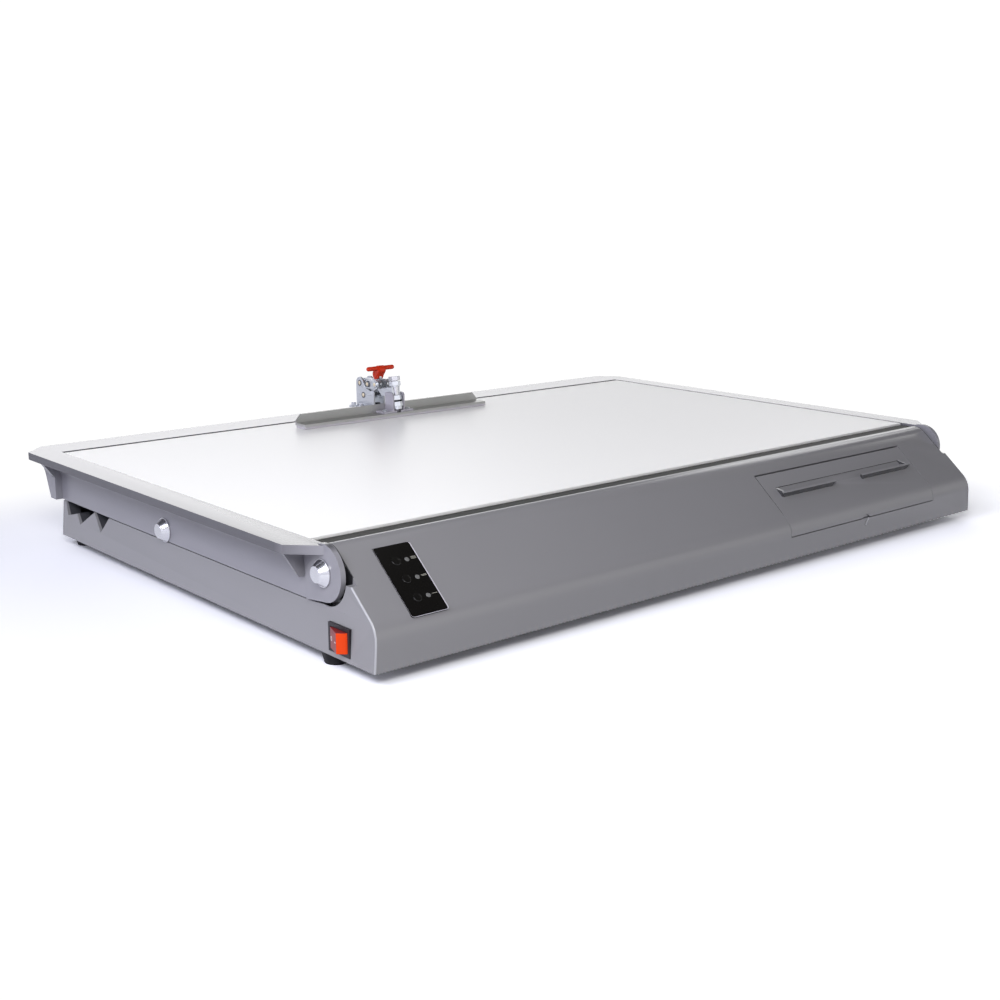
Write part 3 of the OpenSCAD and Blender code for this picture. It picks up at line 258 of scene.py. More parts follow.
def edge_group():
    """Paler colour on worn outer edges."""
    group, given, made = new_group(
        "Edge wear",
        [("Colour", "NodeSocketColor", (0.5, 0.5, 0.5, 1)), ("Worn", "NodeSocketColor", (0.7, 0.7, 0.7, 1)),
         ("Amount", "NodeSocketFloat", 0.5)],
        [("Colour", "NodeSocketColor"), ("Mask", "NodeSocketFloat")],
    )
    shape = add(group, "ShaderNodeNewGeometry")
    just_convex, fully_worn = 0.51, 0.60
    edge = ramp(group, shape.outputs["Pointiness"], just_convex, fully_worn)
    mask = math_node(group, "MULTIPLY", edge, given.outputs["Amount"])
    colour = mix_colour(group, mask, given.outputs["Colour"], given.outputs["Worn"])
    group.links.new(colour, made.inputs["Colour"])
    group.links.new(mask, made.inputs["Mask"])
    return group


def brushed_group():
    """Fine parallel lines: a height, and a shade for colour and roughness."""
    group, given, made = new_group(
        "Brushed lines",
        [("Stretch", "NodeSocketVector", (4.0, 1500.0, 1500.0)),
         ("Colour", "NodeSocketColor", (0.5, 0.5, 0.5, 1)), ("Contrast", "NodeSocketFloat", 0.2),
         ("Roughness", "NodeSocketFloat", 0.35)],
        [("Colour", "NodeSocketColor"), ("Roughness", "NodeSocketFloat"), ("Height", "NodeSocketFloat")],
    )
    place = add(group, "ShaderNodeTexCoord")
    stretched = add(group, "ShaderNodeVectorMath", operation="MULTIPLY")
    noise = add(group, "ShaderNodeTexNoise", Scale=1.0, Detail=3.0)
    group.links.new(place.outputs["Object"], stretched.inputs[0])
    group.links.new(given.outputs["Stretch"], stretched.inputs[1])
    group.links.new(stretched.outputs[0], noise.inputs["Vector"])
    shade = math_node(group, "MULTIPLY", math_node(group, "SUBTRACT", noise.outputs["Fac"], 0.5),
                      given.outputs["Contrast"])
    gain = math_node(group, "ADD", shade, 1.0)
    group.links.new(scale_colour(group, given.outputs["Colour"], gain), made.inputs["Colour"])
    group.links.new(math_node(group, "ADD", given.outputs["Roughness"], shade), made.inputs["Roughness"])
    group.links.new(noise.outputs["Fac"], made.inputs["Height"])
    return group


def smooth_group():
    """Geometry nodes that shade faces smooth and keep edges above an angle sharp."""
    group = bpy.data.node_groups.new("Smooth by angle", "GeometryNodeTree")
    group.interface.new_socket("Geometry", in_out="INPUT", socket_type="NodeSocketGeometry")
    limit = group.interface.new_socket("Angle", in_out="INPUT", socket_type="NodeSocketFloat")
    limit.default_value = SHARP_ANGLE
    group.interface.new_socket("Geometry", in_out="OUTPUT", socket_type="NodeSocketGeometry")
    given, made = group.nodes.new("NodeGroupInput"), group.nodes.new("NodeGroupOutput")
    faces = add(group, "GeometryNodeSetShadeSmooth", domain="FACE")
    edges = add(group, "GeometryNodeSetShadeSmooth", domain="EDGE")
    bend = add(group, "GeometryNodeInputMeshEdgeAngle")
    below = add(group, "FunctionNodeCompare", data_type="FLOAT", operation="LESS_THAN")
    group.links.new(given.outputs["Geometry"], faces.inputs["Geometry"])
    group.links.new(faces.outputs["Geometry"], edges.inputs["Geometry"])
    group.links.new(bend.outputs["Unsigned Angle"], below.inputs[0])
    group.links.new(given.outputs["Angle"], below.inputs[1])
    group.links.new(below.outputs[0], edges.inputs["Shade Smooth"])
    group.links.new(edges.outputs["Geometry"], made.inputs["Geometry"])
    return group


GROUPS = {}


def group_of(name, maker):
    if name not in GROUPS:
        GROUPS[name] = maker()
    return GROUPS[name]


# Materials

# Height of the bumps
PLASTIC_BUMP = 0.00006
METAL_BUMP = 0.00003


def rgba(colour):
    return (colour[0], colour[1], colour[2], 1.0)


def new_material(name):
    material = bpy.data.materials.new(name)
    material.use_nodes = True
    tree = material.node_tree
    return material, tree, tree.nodes["Principled BSDF"]


def use_group(tree, name, maker, **values):
    node = tree.nodes.new("ShaderNodeGroup")
    node.node_tree = group_of(name, maker)
    for key, value in values.items():
        node.inputs[key].default_value = value
    return node


def add_bump(tree, shader, height, strength, distance):
    bump = add(tree, "ShaderNodeBump")
    bump.inputs["Strength"].default_value = strength
    bump.inputs["Distance"].default_value = distance
    tree.links.new(height, bump.inputs["Height"])
    tree.links.new(bump.outputs["Normal"], shader.inputs["Normal"])


def moulded(name, colour, roughness, drift=0.03, grain=900.0, bump=0.12, worn=None, wear=0.25, shine=0.5):
    """Moulded or painted surface with a fine grain and slightly paler edges."""
    material, tree, shader = new_material(name)
    surface = use_group(tree, "grain", grain_group, Colour=rgba(colour), Drift=drift, Grain=grain)
    pale = worn or [min(1.0, c * 1.25 + 0.01) for c in colour]
    edge = use_group(tree, "edge", edge_group, Worn=rgba(pale), Amount=wear)
    tree.links.new(surface.outputs["Colour"], edge.inputs["Colour"])
    tree.links.new(edge.outputs["Colour"], shader.inputs["Base Color"])
    rough = math_node(tree, "ADD", surface.outputs["Roughness drift"], roughness)
    tree.links.new(rough, shader.inputs["Roughness"])
    shader.inputs["Specular IOR Level"].default_value = shine
    add_bump(tree, shader, surface.outputs["Height"], bump, PLASTIC_BUMP)
    material.diffuse_color = rgba(colour)
    return material


def metal(name, colour, roughness, stretch, contrast=0.2, bump=0.05, metallic=1.0):
    """Bare or plated metal with fine lines along the axis that has the small stretch."""
    material, tree, shader = new_material(name)
    lines = use_group(tree, "brushed", brushed_group, Colour=rgba(colour), Stretch=stretch, Contrast=contrast,
                      Roughness=roughness)
    edge = use_group(tree, "edge", edge_group, Worn=rgba([min(1.0, c * 1.2) for c in colour]), Amount=0.5)
    tree.links.new(lines.outputs["Colour"], edge.inputs["Colour"])
    tree.links.new(edge.outputs["Colour"], shader.inputs["Base Color"])
    tree.links.new(lines.outputs["Roughness"], shader.inputs["Roughness"])
    shader.inputs["Metallic"].default_value = metallic
    add_bump(tree, shader, lines.outputs["Height"], bump, METAL_BUMP)
    material.diffuse_color = rgba(colour)
    return material


# Stretch of a metal's fine lines
ALONG_X = (6.0, 1600.0, 1600.0)
ALONG_Y = (1600.0, 6.0, 1600.0)
CAST = (500.0, 500.0, 500.0)


def grained(name, colour, drift, grain, roughness, shine):
    """Coloured plastic with a fine grain, whose base colour is left to the caller."""
    material, tree, shader = new_material(name)
    surface = use_group(tree, "grain", grain_group, Colour=rgba(colour), Drift=drift, Grain=grain)
    shader.inputs["Roughness"].default_value = roughness
    shader.inputs["Specular IOR Level"].default_value = shine
    return material, tree, shader, surface


def grip_material(look):
    """Soft red plastic with a light bump."""
    material, tree, shader, surface = grained("Grip red", look.grip, 0.06, 600.0, 0.38, 0.35)
    tree.links.new(surface.outputs["Colour"], shader.inputs["Base Color"])
    add_bump(tree, shader, surface.outputs["Height"], 0.08, PLASTIC_BUMP)
    return material


def rocker_material(look):
    """Translucent red plastic with a painted glow, standing in for the light of its lamp inside, where it
    faces the front, and dark on its marked face.
    """
    material, tree, shader, surface = grained("Rocker red", look.rocker, 0.05, 800.0, 0.35, 0.25)
    _, facing = object_axes(tree)
    rearward = ramp(tree, facing["Y"], -0.05, 0.1)
    upward = ramp(tree, facing["Z"], 0.4, 0.7)
    marked = math_node(tree, "MAXIMUM", rearward, upward)
    # The bright colour on the faces towards the front is a painted glow from the lamp inside the rocker.
    colour = mix_colour(tree, marked, surface.outputs["Colour"], rgba(look.rocker_face))
    tree.links.new(colour, shader.inputs["Base Color"])
    return material


# Painted shades and highlights. Each row of a mask gives where it starts and where it is whole, along an axis
# of the object in metres or, for a direction, as a share of 1.

def object_axes(tree):
    """Place and direction of the surface in the object's own axes."""
    place = add(tree, "ShaderNodeTexCoord")
    at = add(tree, "ShaderNodeSeparateXYZ")
    facing = add(tree, "ShaderNodeSeparateXYZ")
    tree.links.new(place.outputs["Object"], at.inputs[0])
    tree.links.new(place.outputs["Normal"], facing.inputs[0])
    return at.outputs, facing.outputs


def mix_masked(tree, masks, tint):
    """Mixes a colour into the base colour where every (value, start, whole) ramp is up."""
    shader = tree.nodes["Principled BSDF"]
    colour = shader.inputs["Base Color"].links[0].from_socket
    whole = None
    for value, start, full in masks:
        step = ramp(tree, value, start, full)
        whole = math_node(tree, "MULTIPLY", whole, step) if whole else step
    tree.links.new(mix_colour(tree, whole, colour, tint), shader.inputs["Base Color"])


def paint_shade_on_flange(material):
    """Painted shade on the flange's upright edge, and on its top towards the near left corner."""
    tree = material.node_tree
    at, facing = object_axes(tree)
    above_skirt = (at["Z"], 0.0966, 0.0976)
    upright = (absolute(tree, facing["Z"]), 0.75, 0.3)
    behind_ears = (at["Y"], -0.250, -0.215)
    # Painted shade on the flange's upright edge.
    mix_masked(tree, [above_skirt, upright, behind_ears], (0.085, 0.083, 0.095, 1.0))
    level = (facing["Z"], 0.8, 0.95)
    leftward = (at["X"], 0.0, -0.2)
    forward = (at["Y"], 0.25, -0.25)
    # Painted shade on the top of the flange towards the near left corner.
    mix_masked(tree, [level, leftward, forward], (0.115, 0.113, 0.122, 1.0))


def paint_light_and_shade_on_housing(material):
    """Painted shade in the gap round the ears, painted highlights on the console's outer edges, and painted
    shade in the recess behind the prop's teeth.
    """
    tree = material.node_tree
    at, facing = object_axes(tree)
    pivot = centre_of("pivot_bolts")
    from_pivot = [math_node(tree, "SUBTRACT", at["Y"], pivot.y - 0.0012),
                  math_node(tree, "SUBTRACT", at["Z"], pivot.z - 0.0003)]
    across = absolute(tree, at["X"])
    in_pocket = (length(tree, *from_pivot), 0.0290, 0.0287)
    outside_cheek = (across, 0.4290, 0.4300)
    inside_wall = (across, 0.4362, 0.4355)
    # Painted shade in the pocket round each ear.
    mix_masked(tree, [in_pocket, outside_cheek, inside_wall], (0.02, 0.02, 0.022, 1.0))
    sideways = absolute(tree, facing["X"])
    on_console = (at["Y"], -0.2, -0.22)
    # Painted highlight on the rounded outer edges of the console.
    mix_masked(tree, [(sideways, 0.2, 0.4), (sideways, 0.96, 0.85), on_console], (0.44, 0.44, 0.46, 1.0))
    behind_teeth = (across, 0.4352, 0.4345)
    at_racks = (at["Y"], 0.145, 0.15)
    # Painted shade in the recess behind the prop's teeth.
    mix_masked(tree, [behind_teeth, at_racks], (0.06, 0.06, 0.068, 1.0))


def paint_shade_under_lips(material):
    """Painted shade under the door's two finger lips."""
    tree = material.node_tree
    at, facing = object_axes(tree)
    off_slope = (facing["Z"], 0.35, 0.1)
    above_bottom = (at["Z"], 0.056, 0.060)
    # Painted shade on the faces under the lips.
    mix_masked(tree, [off_slope, above_bottom], (0.055, 0.054, 0.058, 1.0))


def table_materials(look):
    """Every material of the table, by the name that the pieces use."""
    made = {
        "housing": moulded("Housing grey", look.housing, 0.22),
        "frame": moulded("Frame grey", look.table_frame, 0.23),
        "sheet": moulded("Work sheet white", look.sheet, 0.36, drift=0.01, grain=420.0, bump=0.05,
                         wear=0.0),
        "strip": moulded("Strip", look.strip, 0.6, grain=1200.0, shine=0.15),
        "panel": moulded("Panel black", look.panel, 0.22, drift=0.1, grain=1500.0, bump=0.03, wear=0.0),
        # A painted highlight: the pale rim stands in for light caught by the panel's edge.
        "panel_edge_highlight": moulded("Panel edge highlight", (0.62, 0.60, 0.66), 0.25, drift=0.0, bump=0.0, wear=0.0),
        "button": moulded("Button black", (0.006, 0.0055, 0.005), 0.24, grain=1500.0, bump=0.03,
                          wear=0.0),
        "marks": moulded("Level bars", look.marks, 0.6, drift=0.1, bump=0.0, wear=0.0),
        "lens": moulded("Lamp lens", (0.17, 0.17, 0.167), 0.3, drift=0.1, bump=0.02, wear=0.3,
                        shine=0.3),
        "switch": moulded("Switch black", (0.011, 0.008, 0.011), 0.35, wear=0.3,
                          worn=(0.05, 0.045, 0.05), shine=0.25),
        "switch_mark": moulded("Switch marks", (0.85, 0.82, 0.8), 0.4, drift=0.0, bump=0.0, wear=0.0),
        "rubber": moulded("Rubber", look.rubber, 0.6, drift=0.15, grain=700.0, bump=0.3, wear=0.3,
                          worn=(0.03, 0.03, 0.032), shine=0.2),
        "zinc": metal("Zinc plate", look.zinc, 0.34, CAST, 0.25, metallic=0.8),
        "zinc_sheet": metal("Zinc sheet", look.zinc, 0.30, ALONG_Y, 0.15, metallic=0.85),
        "polished": metal("Polished steel", look.polished, 0.24, CAST, 0.06, 0.02),
        "zinc_bracket": metal("Zinc bracket", (0.40, 0.385, 0.43), 0.45, ALONG_X, 0.15, metallic=0.5),
        "bar_pad": moulded("Bar pad", (0.42, 0.40, 0.43), 0.5),
        "steel": metal("Drawn steel", (0.5, 0.5, 0.51), 0.32, ALONG_Y, 0.2),
        "rod": metal("Drawn rod", (0.5, 0.5, 0.51), 0.28, ALONG_X, 0.15),
        "aluminium": metal("Brushed aluminium", look.aluminium, 0.40, ALONG_X, 0.3, 0.08),
        "brass": metal("Brass rivet", (0.80, 0.70, 0.50), 0.35, CAST, 0.2, metallic=0.7),
        "rivet_ring": metal("Rivet ring", (0.16, 0.16, 0.17), 0.35, CAST, 0.2),
        "painted": moulded("Painted steel", (0.05, 0.05, 0.052), 0.5, grain=500.0, bump=0.2),
        "bush": moulded("Bush", (0.55, 0.55, 0.5), 0.5),
        "bin": moulded("Bin grey", (0.09, 0.09, 0.095), 0.5),
        "board": moulded("Board green", (0.015, 0.09, 0.04), 0.35, drift=0.2, grain=300.0, bump=0.2),
        "silicone": moulded("Silicone", (0.42, 0.12, 0.05), 0.5, drift=0.1),
        "wool": moulded("Mineral wool", (0.55, 0.48, 0.33), 0.9, drift=0.3, grain=260.0, bump=0.6),
        "ceramic": moulded("Ceramic", (0.62, 0.58, 0.5), 0.4),
    }
    made["door"] = moulded("Door grey", look.housing, 0.24)
    made["grip"] = grip_material(look)
    made["rocker"] = rocker_material(look)
    paint_shade_on_flange(made["frame"])
    paint_light_and_shade_on_housing(made["housing"])
    paint_shade_under_lips(made["door"])
    return made


MATERIALS = {}


def material_of(name):
    """The named material; the first call makes them all."""
    if not MATERIALS:
        MATERIALS.update(table_materials(bpy.context.scene.table_finishes))
    return MATERIALS[name]


# Mesh helpers

# Distance under which two points of a mesh are one
SAME_PLACE = 0.000002
# Faces that meet under the first angle are one flat face, and edges past the others are sharp or rounded
FLAT_ANGLE = math.radians(0.2)
SHARP_ANGLE = math.radians(28)
ROUNDED_ANGLE = math.radians(32)


def paint(node, finish):
    for slot in NODES[node].material_slots:
        slot.material = material_of(finish)


def add_bevel(thing, name, width, segments, limit):
    rounding = thing.modifiers.new(name, "BEVEL")
    rounding.width = width
    rounding.segments = segments
    rounding.limit_method = limit
    rounding.harden_normals = True
    rounding.use_clamp_overlap = True
    return rounding


def round_edges(thing, width, segments):
    """Welds the split faces, joins flat ones and rounds the sharp edges, as modifiers."""
    weld = thing.modifiers.new("Weld", "WELD")
    weld.merge_threshold = SAME_PLACE
    flat = thing.modifiers.new("Flat faces", "DECIMATE")
    flat.decimate_type = "DISSOLVE"
    flat.angle_limit = FLAT_ANGLE
    smooth = thing.modifiers.new("Smooth by angle", "NODES")
    smooth.node_group = group_of("smooth", smooth_group)
    rounding = add_bevel(thing, "Rounding", width, segments, "ANGLE")
    rounding.angle_limit = ROUNDED_ANGLE


def round_group(thing, name, width, chosen):
    """Rounds the edges between the vertices that chosen() picks, ahead of the general rounding."""
    group = thing.vertex_groups.new(name=name)
    group.add([v.index for v in thing.data.vertices if chosen(v.co)], 1.0, "REPLACE")
    rounding = add_bevel(thing, name, width, 4, "VGROUP")
    rounding.vertex_group = group.name
    after_smoothing = 3
    thing.modifiers.move(len(thing.modifiers) - 1, after_smoothing)


def finish_node(node, finish, width=0.0, segments=2):
    paint(node, finish)
    if width:
        round_edges(NODES[node], width, segments)


def new_piece(name, mesh_data, body, finish):
    """A piece from a bmesh, riding on a body."""
    data = bpy.data.meshes.new(name)
    mesh_data.normal_update()
    mesh_data.to_mesh(data)
    mesh_data.free()
    piece = bpy.data.objects.new(name, data)
    bpy.context.scene.collection.objects.link(piece)
    data.materials.append(material_of(finish))
    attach(piece, body)
    return piece


def add_prism(mesh_data, outline, low, high, place):
    """Adds a prism over a flat outline to a bmesh, with place() mapping (x, y, z) to the table."""
    bottom = [mesh_data.verts.new(place(x, y, low)) for x, y in outline]
    top = [mesh_data.verts.new(place(x, y, high)) for x, y in outline]
    mesh_data.faces.new(list(reversed(bottom)))
    mesh_data.faces.new(top)
    for i in range(len(outline)):
        j = (i + 1) % len(outline)
        mesh_data.faces.new((bottom[i], bottom[j], top[j], top[i]))


def bridge_rings(mesh_data, rings):
    """Joins each ring of vertices to the next one with quads."""
    for inner, outer in zip(rings, rings[1:]):
        for i in range(len(inner)):
            j = (i + 1) % len(inner)
            mesh_data.faces.new((inner[i], inner[j], outer[j], outer[i]))


def reach(node, origin, direction):
    """How far a piece lies before and beyond a point, along a direction."""
    along = [(v.co - origin).dot(direction) for v in NODES[node].data.vertices]
    return min(along), max(along)


def centre_of(node):
    low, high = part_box(node)
    return (low + high) / 2


def slope_frame(node):
    """Centre of a piece that lies on the slope, and the slope's up-slope and outward directions."""
    normal = Vector((0, 0, 0))
    for face in NODES[node].data.polygons:
        if face.normal.z > 0.5 and face.normal.y < -0.3:
            normal += face.normal * face.area
    outward = normal.normalized()
    up_slope = Vector((1, 0, 0)).cross(outward).normalized() * -1
    if up_slope.z < 0:
        up_slope.negate()
    return centre_of(node), up_slope, outward


class TABLE_OT_housing(bpy.types.Operator):
    """Finishes the base housing, its door, bin and bottom plate"""

    bl_idname = "weeding_table.housing"
    bl_label = "Base housing"

    def execute(self, context):
        sizes = context.scene.table_sizes
        finish_node("base_housing", "housing", sizes.mould_edge * 0.6)
        for side, name in ((-1, "Left edge"), (1, "Right edge")):
            self.round_side(side, name, sizes.console_edge)
        finish_node("tool_door", "door", sizes.mould_edge * 0.4)
        finish_node("tool_bin", "bin", sizes.mould_edge * 0.4)
        finish_node("hinge_strip", "strip", sizes.metal_edge)
        finish_node("base_plate", "painted", sizes.metal_edge)
        finish_node("pivot_bushes", "bush", sizes.metal_edge)
        finish_node("door_pins", "rod", sizes.metal_edge)
        finish_node("feet", "rubber", sizes.mould_edge)
        finish_node("base_screws", "zinc", sizes.metal_edge)
        return {"FINISHED"}

    def round_side(self, side, name, width):
        """Rounds the console's outer edges at one side, but not the ear's pocket or the switch's opening."""
        low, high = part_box("base_housing")
        pivot = centre_of("pivot_bolts")
        wall_depth, nose_depth, console_depth, nose_height, pocket_reach = 0.0035, 0.004, 0.099, 0.035, 0.0305
        plane = min(abs(low.x), abs(high.x)) - wall_depth

        def outer(co):
            front = co.y < low.y + nose_depth
            clear = math.hypot(co.y - pivot.y, co.z - pivot.z) > pocket_reach
            in_console = co.x * side > plane and co.y < low.y + console_depth
            return in_console and (front or (co.z > low.z + nose_height and clear))

        cheek_x, crest_depth, crest_height = 0.4304, 0.075, 0.066

        def upper(co):
            on_cheek = abs(co.x * side - cheek_x) < 0.0002
            return on_cheek and co.y < low.y + crest_depth and co.z > low.z + crest_height

        round_group(NODES["base_housing"], name, width, outer)
        round_group(NODES["base_housing"], name + " above", width * 0.7, upper)


class TABLE_OT_frame(bpy.types.Operator):
    """Finishes the tilting frame, its bolts and the prop stand"""

    bl_idname = "weeding_table.frame"
    bl_label = "Table frame"

    def execute(self, context):
        sizes = context.scene.table_sizes
        for node in ("top_frame", "rear_skirt", "flange_ribs"):
            finish_node(node, "frame", sizes.mould_edge)
        for node in ("pivot_bolts", "prop_bolts"):
            finish_node(node, "polished", sizes.metal_edge * 2, 3)
        for node in ("pivot_nuts", "prop_nuts", "prop_spacers"):
            finish_node(node, "zinc", sizes.metal_edge)
        finish_node("prop_arms", "steel", sizes.metal_edge)
        finish_node("prop_rod", "rod", sizes.metal_edge * 2)
        return {"FINISHED"}


class TABLE_OT_surface(bpy.types.Operator):
    """Finishes the work sheet and the heated stack below it"""

    bl_idname = "weeding_table.surface"
    bl_label = "Work surface"

    def execute(self, context):
        sizes = context.scene.table_sizes
        finish_node("work_sheet", "sheet", sizes.metal_edge * 2, 3)
        finish_node("heat_spreader", "aluminium", sizes.metal_edge)
        finish_node("heater_mat", "silicone")
        finish_node("insulation_board", "wool")
        finish_node("thermal_cutout", "ceramic", sizes.metal_edge)
        finish_node("heater_lead", "silicone")
        finish_node("platen_cover", "painted", sizes.metal_edge)
        finish_node("cover_screws", "zinc", sizes.metal_edge)
        return {"FINISHED"}


class TABLE_OT_panel(bpy.types.Operator):
    """Finishes the control panel with its painted edge highlight, lamps, buttons and level bars"""

    bl_idname = "weeding_table.panel"
    bl_label = "Control panel"

    def execute(self, context):
        sizes = context.scene.table_sizes
        finish_node("control_panel", "panel", sizes.metal_edge)
        finish_node("led_lenses", "lens", sizes.mould_edge, 4)
        finish_node("control_board", "board")
        for index in range(3):
            finish_node(f"button_{index + 1}", "button", sizes.mould_edge * 0.6, 3)
        self.add_edge_highlight(sizes)
        self.add_bars(sizes)
        return {"FINISHED"}

    def add_edge_highlight(self, sizes):
        """Pale rim round the panel's face that paints the highlight on its edge, widest at the right and
        thinnest at the left and the top.
        """
        centre, up_slope, outward = slope_frame("control_panel")
        low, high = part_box("control_panel")
        half_x = (high.x - low.x) / 2
        start, end = reach("control_panel", centre, up_slope)
        half_s = (end - start) / 2
        face = reach("control_panel", centre, outward)[1]
        corner_r, sunk, raised = 0.003, 0.00005, 0.00004
        wide, thin = sizes.panel_edge_highlight, sizes.panel_edge_highlight * 0.04
        mesh_data = bmesh.new()
        rings = []
        for inset, height in ((0.0, face - sunk), (0.0, face + raised), (1.0, face + raised)):
            ring = []
            for sx, sy, first in ((1, -1, -90), (1, 1, 0), (-1, 1, 90), (-1, -1, 180)):
                in_x = inset * (wide if sx > 0 else thin)
                in_y = inset * (wide * 0.45 if sy < 0 else thin)
                for step in range(7):
                    turn = math.radians(first + step * 15)
                    x = sx * (half_x - corner_r) + (corner_r - in_x) * math.cos(turn)
                    y = sy * (half_s - corner_r) + (corner_r - in_y) * math.sin(turn)
                    place = centre + Vector((x, 0, 0)) + up_slope * y + outward * height
                    ring.append(mesh_data.verts.new(place))
            rings.append(ring)
        bridge_rings(mesh_data, rings)
        new_piece("panel_edge_highlight", mesh_data, "base", "panel_edge_highlight")

    def add_bars(self, sizes):
        """Level bars beside the lamps: one at the lowest lamp, then two and three."""
        centre, up_slope, outward = slope_frame("control_panel")
        face = reach("control_panel", centre, outward)[1]
        lens_x = centre_of("led_lenses").x - centre.x
        lamps = sorted((centre_of(f"button_{index}") for index in (1, 2, 3)), key=lambda p: p.z)
        beside, above, sunk, raised = 0.0070, 0.0006, 0.0001, 0.00005
        half_l, half_w = sizes.bar_long / 2, sizes.bar_wide / 2
        outline = [(-half_l, -half_w), (half_l, -half_w), (half_l, half_w), (-half_l, half_w)]
        mesh_data = bmesh.new()
        for count, lamp in zip((1, 2, 3), lamps):
            for index in range(count):
                x = lens_x + beside
                y = (lamp - centre).dot(up_slope) + above + (index - (count - 1) / 2) * sizes.bar_wide * 2.0

                def place(dx, dy, z, x=x, y=y):
                    return centre + Vector((x + dx, 0, 0)) + up_slope * (y + dy) + outward * z

                add_prism(mesh_data, outline, face - sunk, face + raised, place)
        new_piece("level_bars", mesh_data, "base", "marks")


class TABLE_OT_power(bpy.types.Operator):
    """Finishes the rocker switch with its marks, and the parts of the mains side"""

    bl_idname = "weeding_table.power"
    bl_label = "Power switch"

    def execute(self, context):
        sizes = context.scene.table_sizes
        finish_node("switch_body", "switch", sizes.mould_edge * 0.6, 3)
        finish_node("rocker", "rocker", sizes.mould_edge * 0.7, 3)
        finish_node("power_board", "board")
        finish_node("inlet_socket", "switch", sizes.metal_edge)
        finish_node("inlet_screws", "zinc", sizes.metal_edge)
        finish_node("mains_lead", "rubber")
        self.add_marks()
        return {"FINISHED"}

    def add_marks(self):
        """I and O moulded on the rocker's main face."""
        best = max(
            (p for p in NODES["rocker"].data.polygons if p.normal.x < -0.8 and p.normal.y > 0.2),
            key=lambda p: p.area,
        )
        outward = best.normal.copy()
        along = Vector((0, 0, 1)).cross(outward).normalized()
        if along.y < 0:
            along.negate()
        on_face = 0.00005
        corners = [v.co for v in NODES["rocker"].data.vertices
                   if abs((v.co - best.center).dot(outward)) < on_face]
        centre = sum(corners, Vector()) / len(corners)
        lift = (best.center - centre).dot(outward)

        def place(x, y, z):
            return centre + along * x + Vector((0, 0, y)) + outward * (z + lift)

        sunk, raised = -0.0001, 0.00012
        stroke = [(-0.0078, -0.0004), (-0.0042, -0.0004), (-0.0042, 0.0004), (-0.0078, 0.0004)]
        mesh_data = bmesh.new()
        add_prism(mesh_data, stroke, sunk, raised, place)
        steps, ring_x, inner, outer = 24, 0.0055, 0.0013, 0.0020
        for index in range(steps):
            a, b = (math.tau * (index + k) / steps for k in (0, 1))
            outline = [(ring_x + r * math.cos(t), r * math.sin(t)) for r, t in
                       ((inner, a), (outer, a), (outer, b), (inner, b))]
            add_prism(mesh_data, outline, sunk, raised, place)
        bmesh.ops.remove_doubles(mesh_data, verts=mesh_data.verts, dist=0.000001)
        new_piece("rocker_marks", mesh_data, "rocker", "switch_mark")


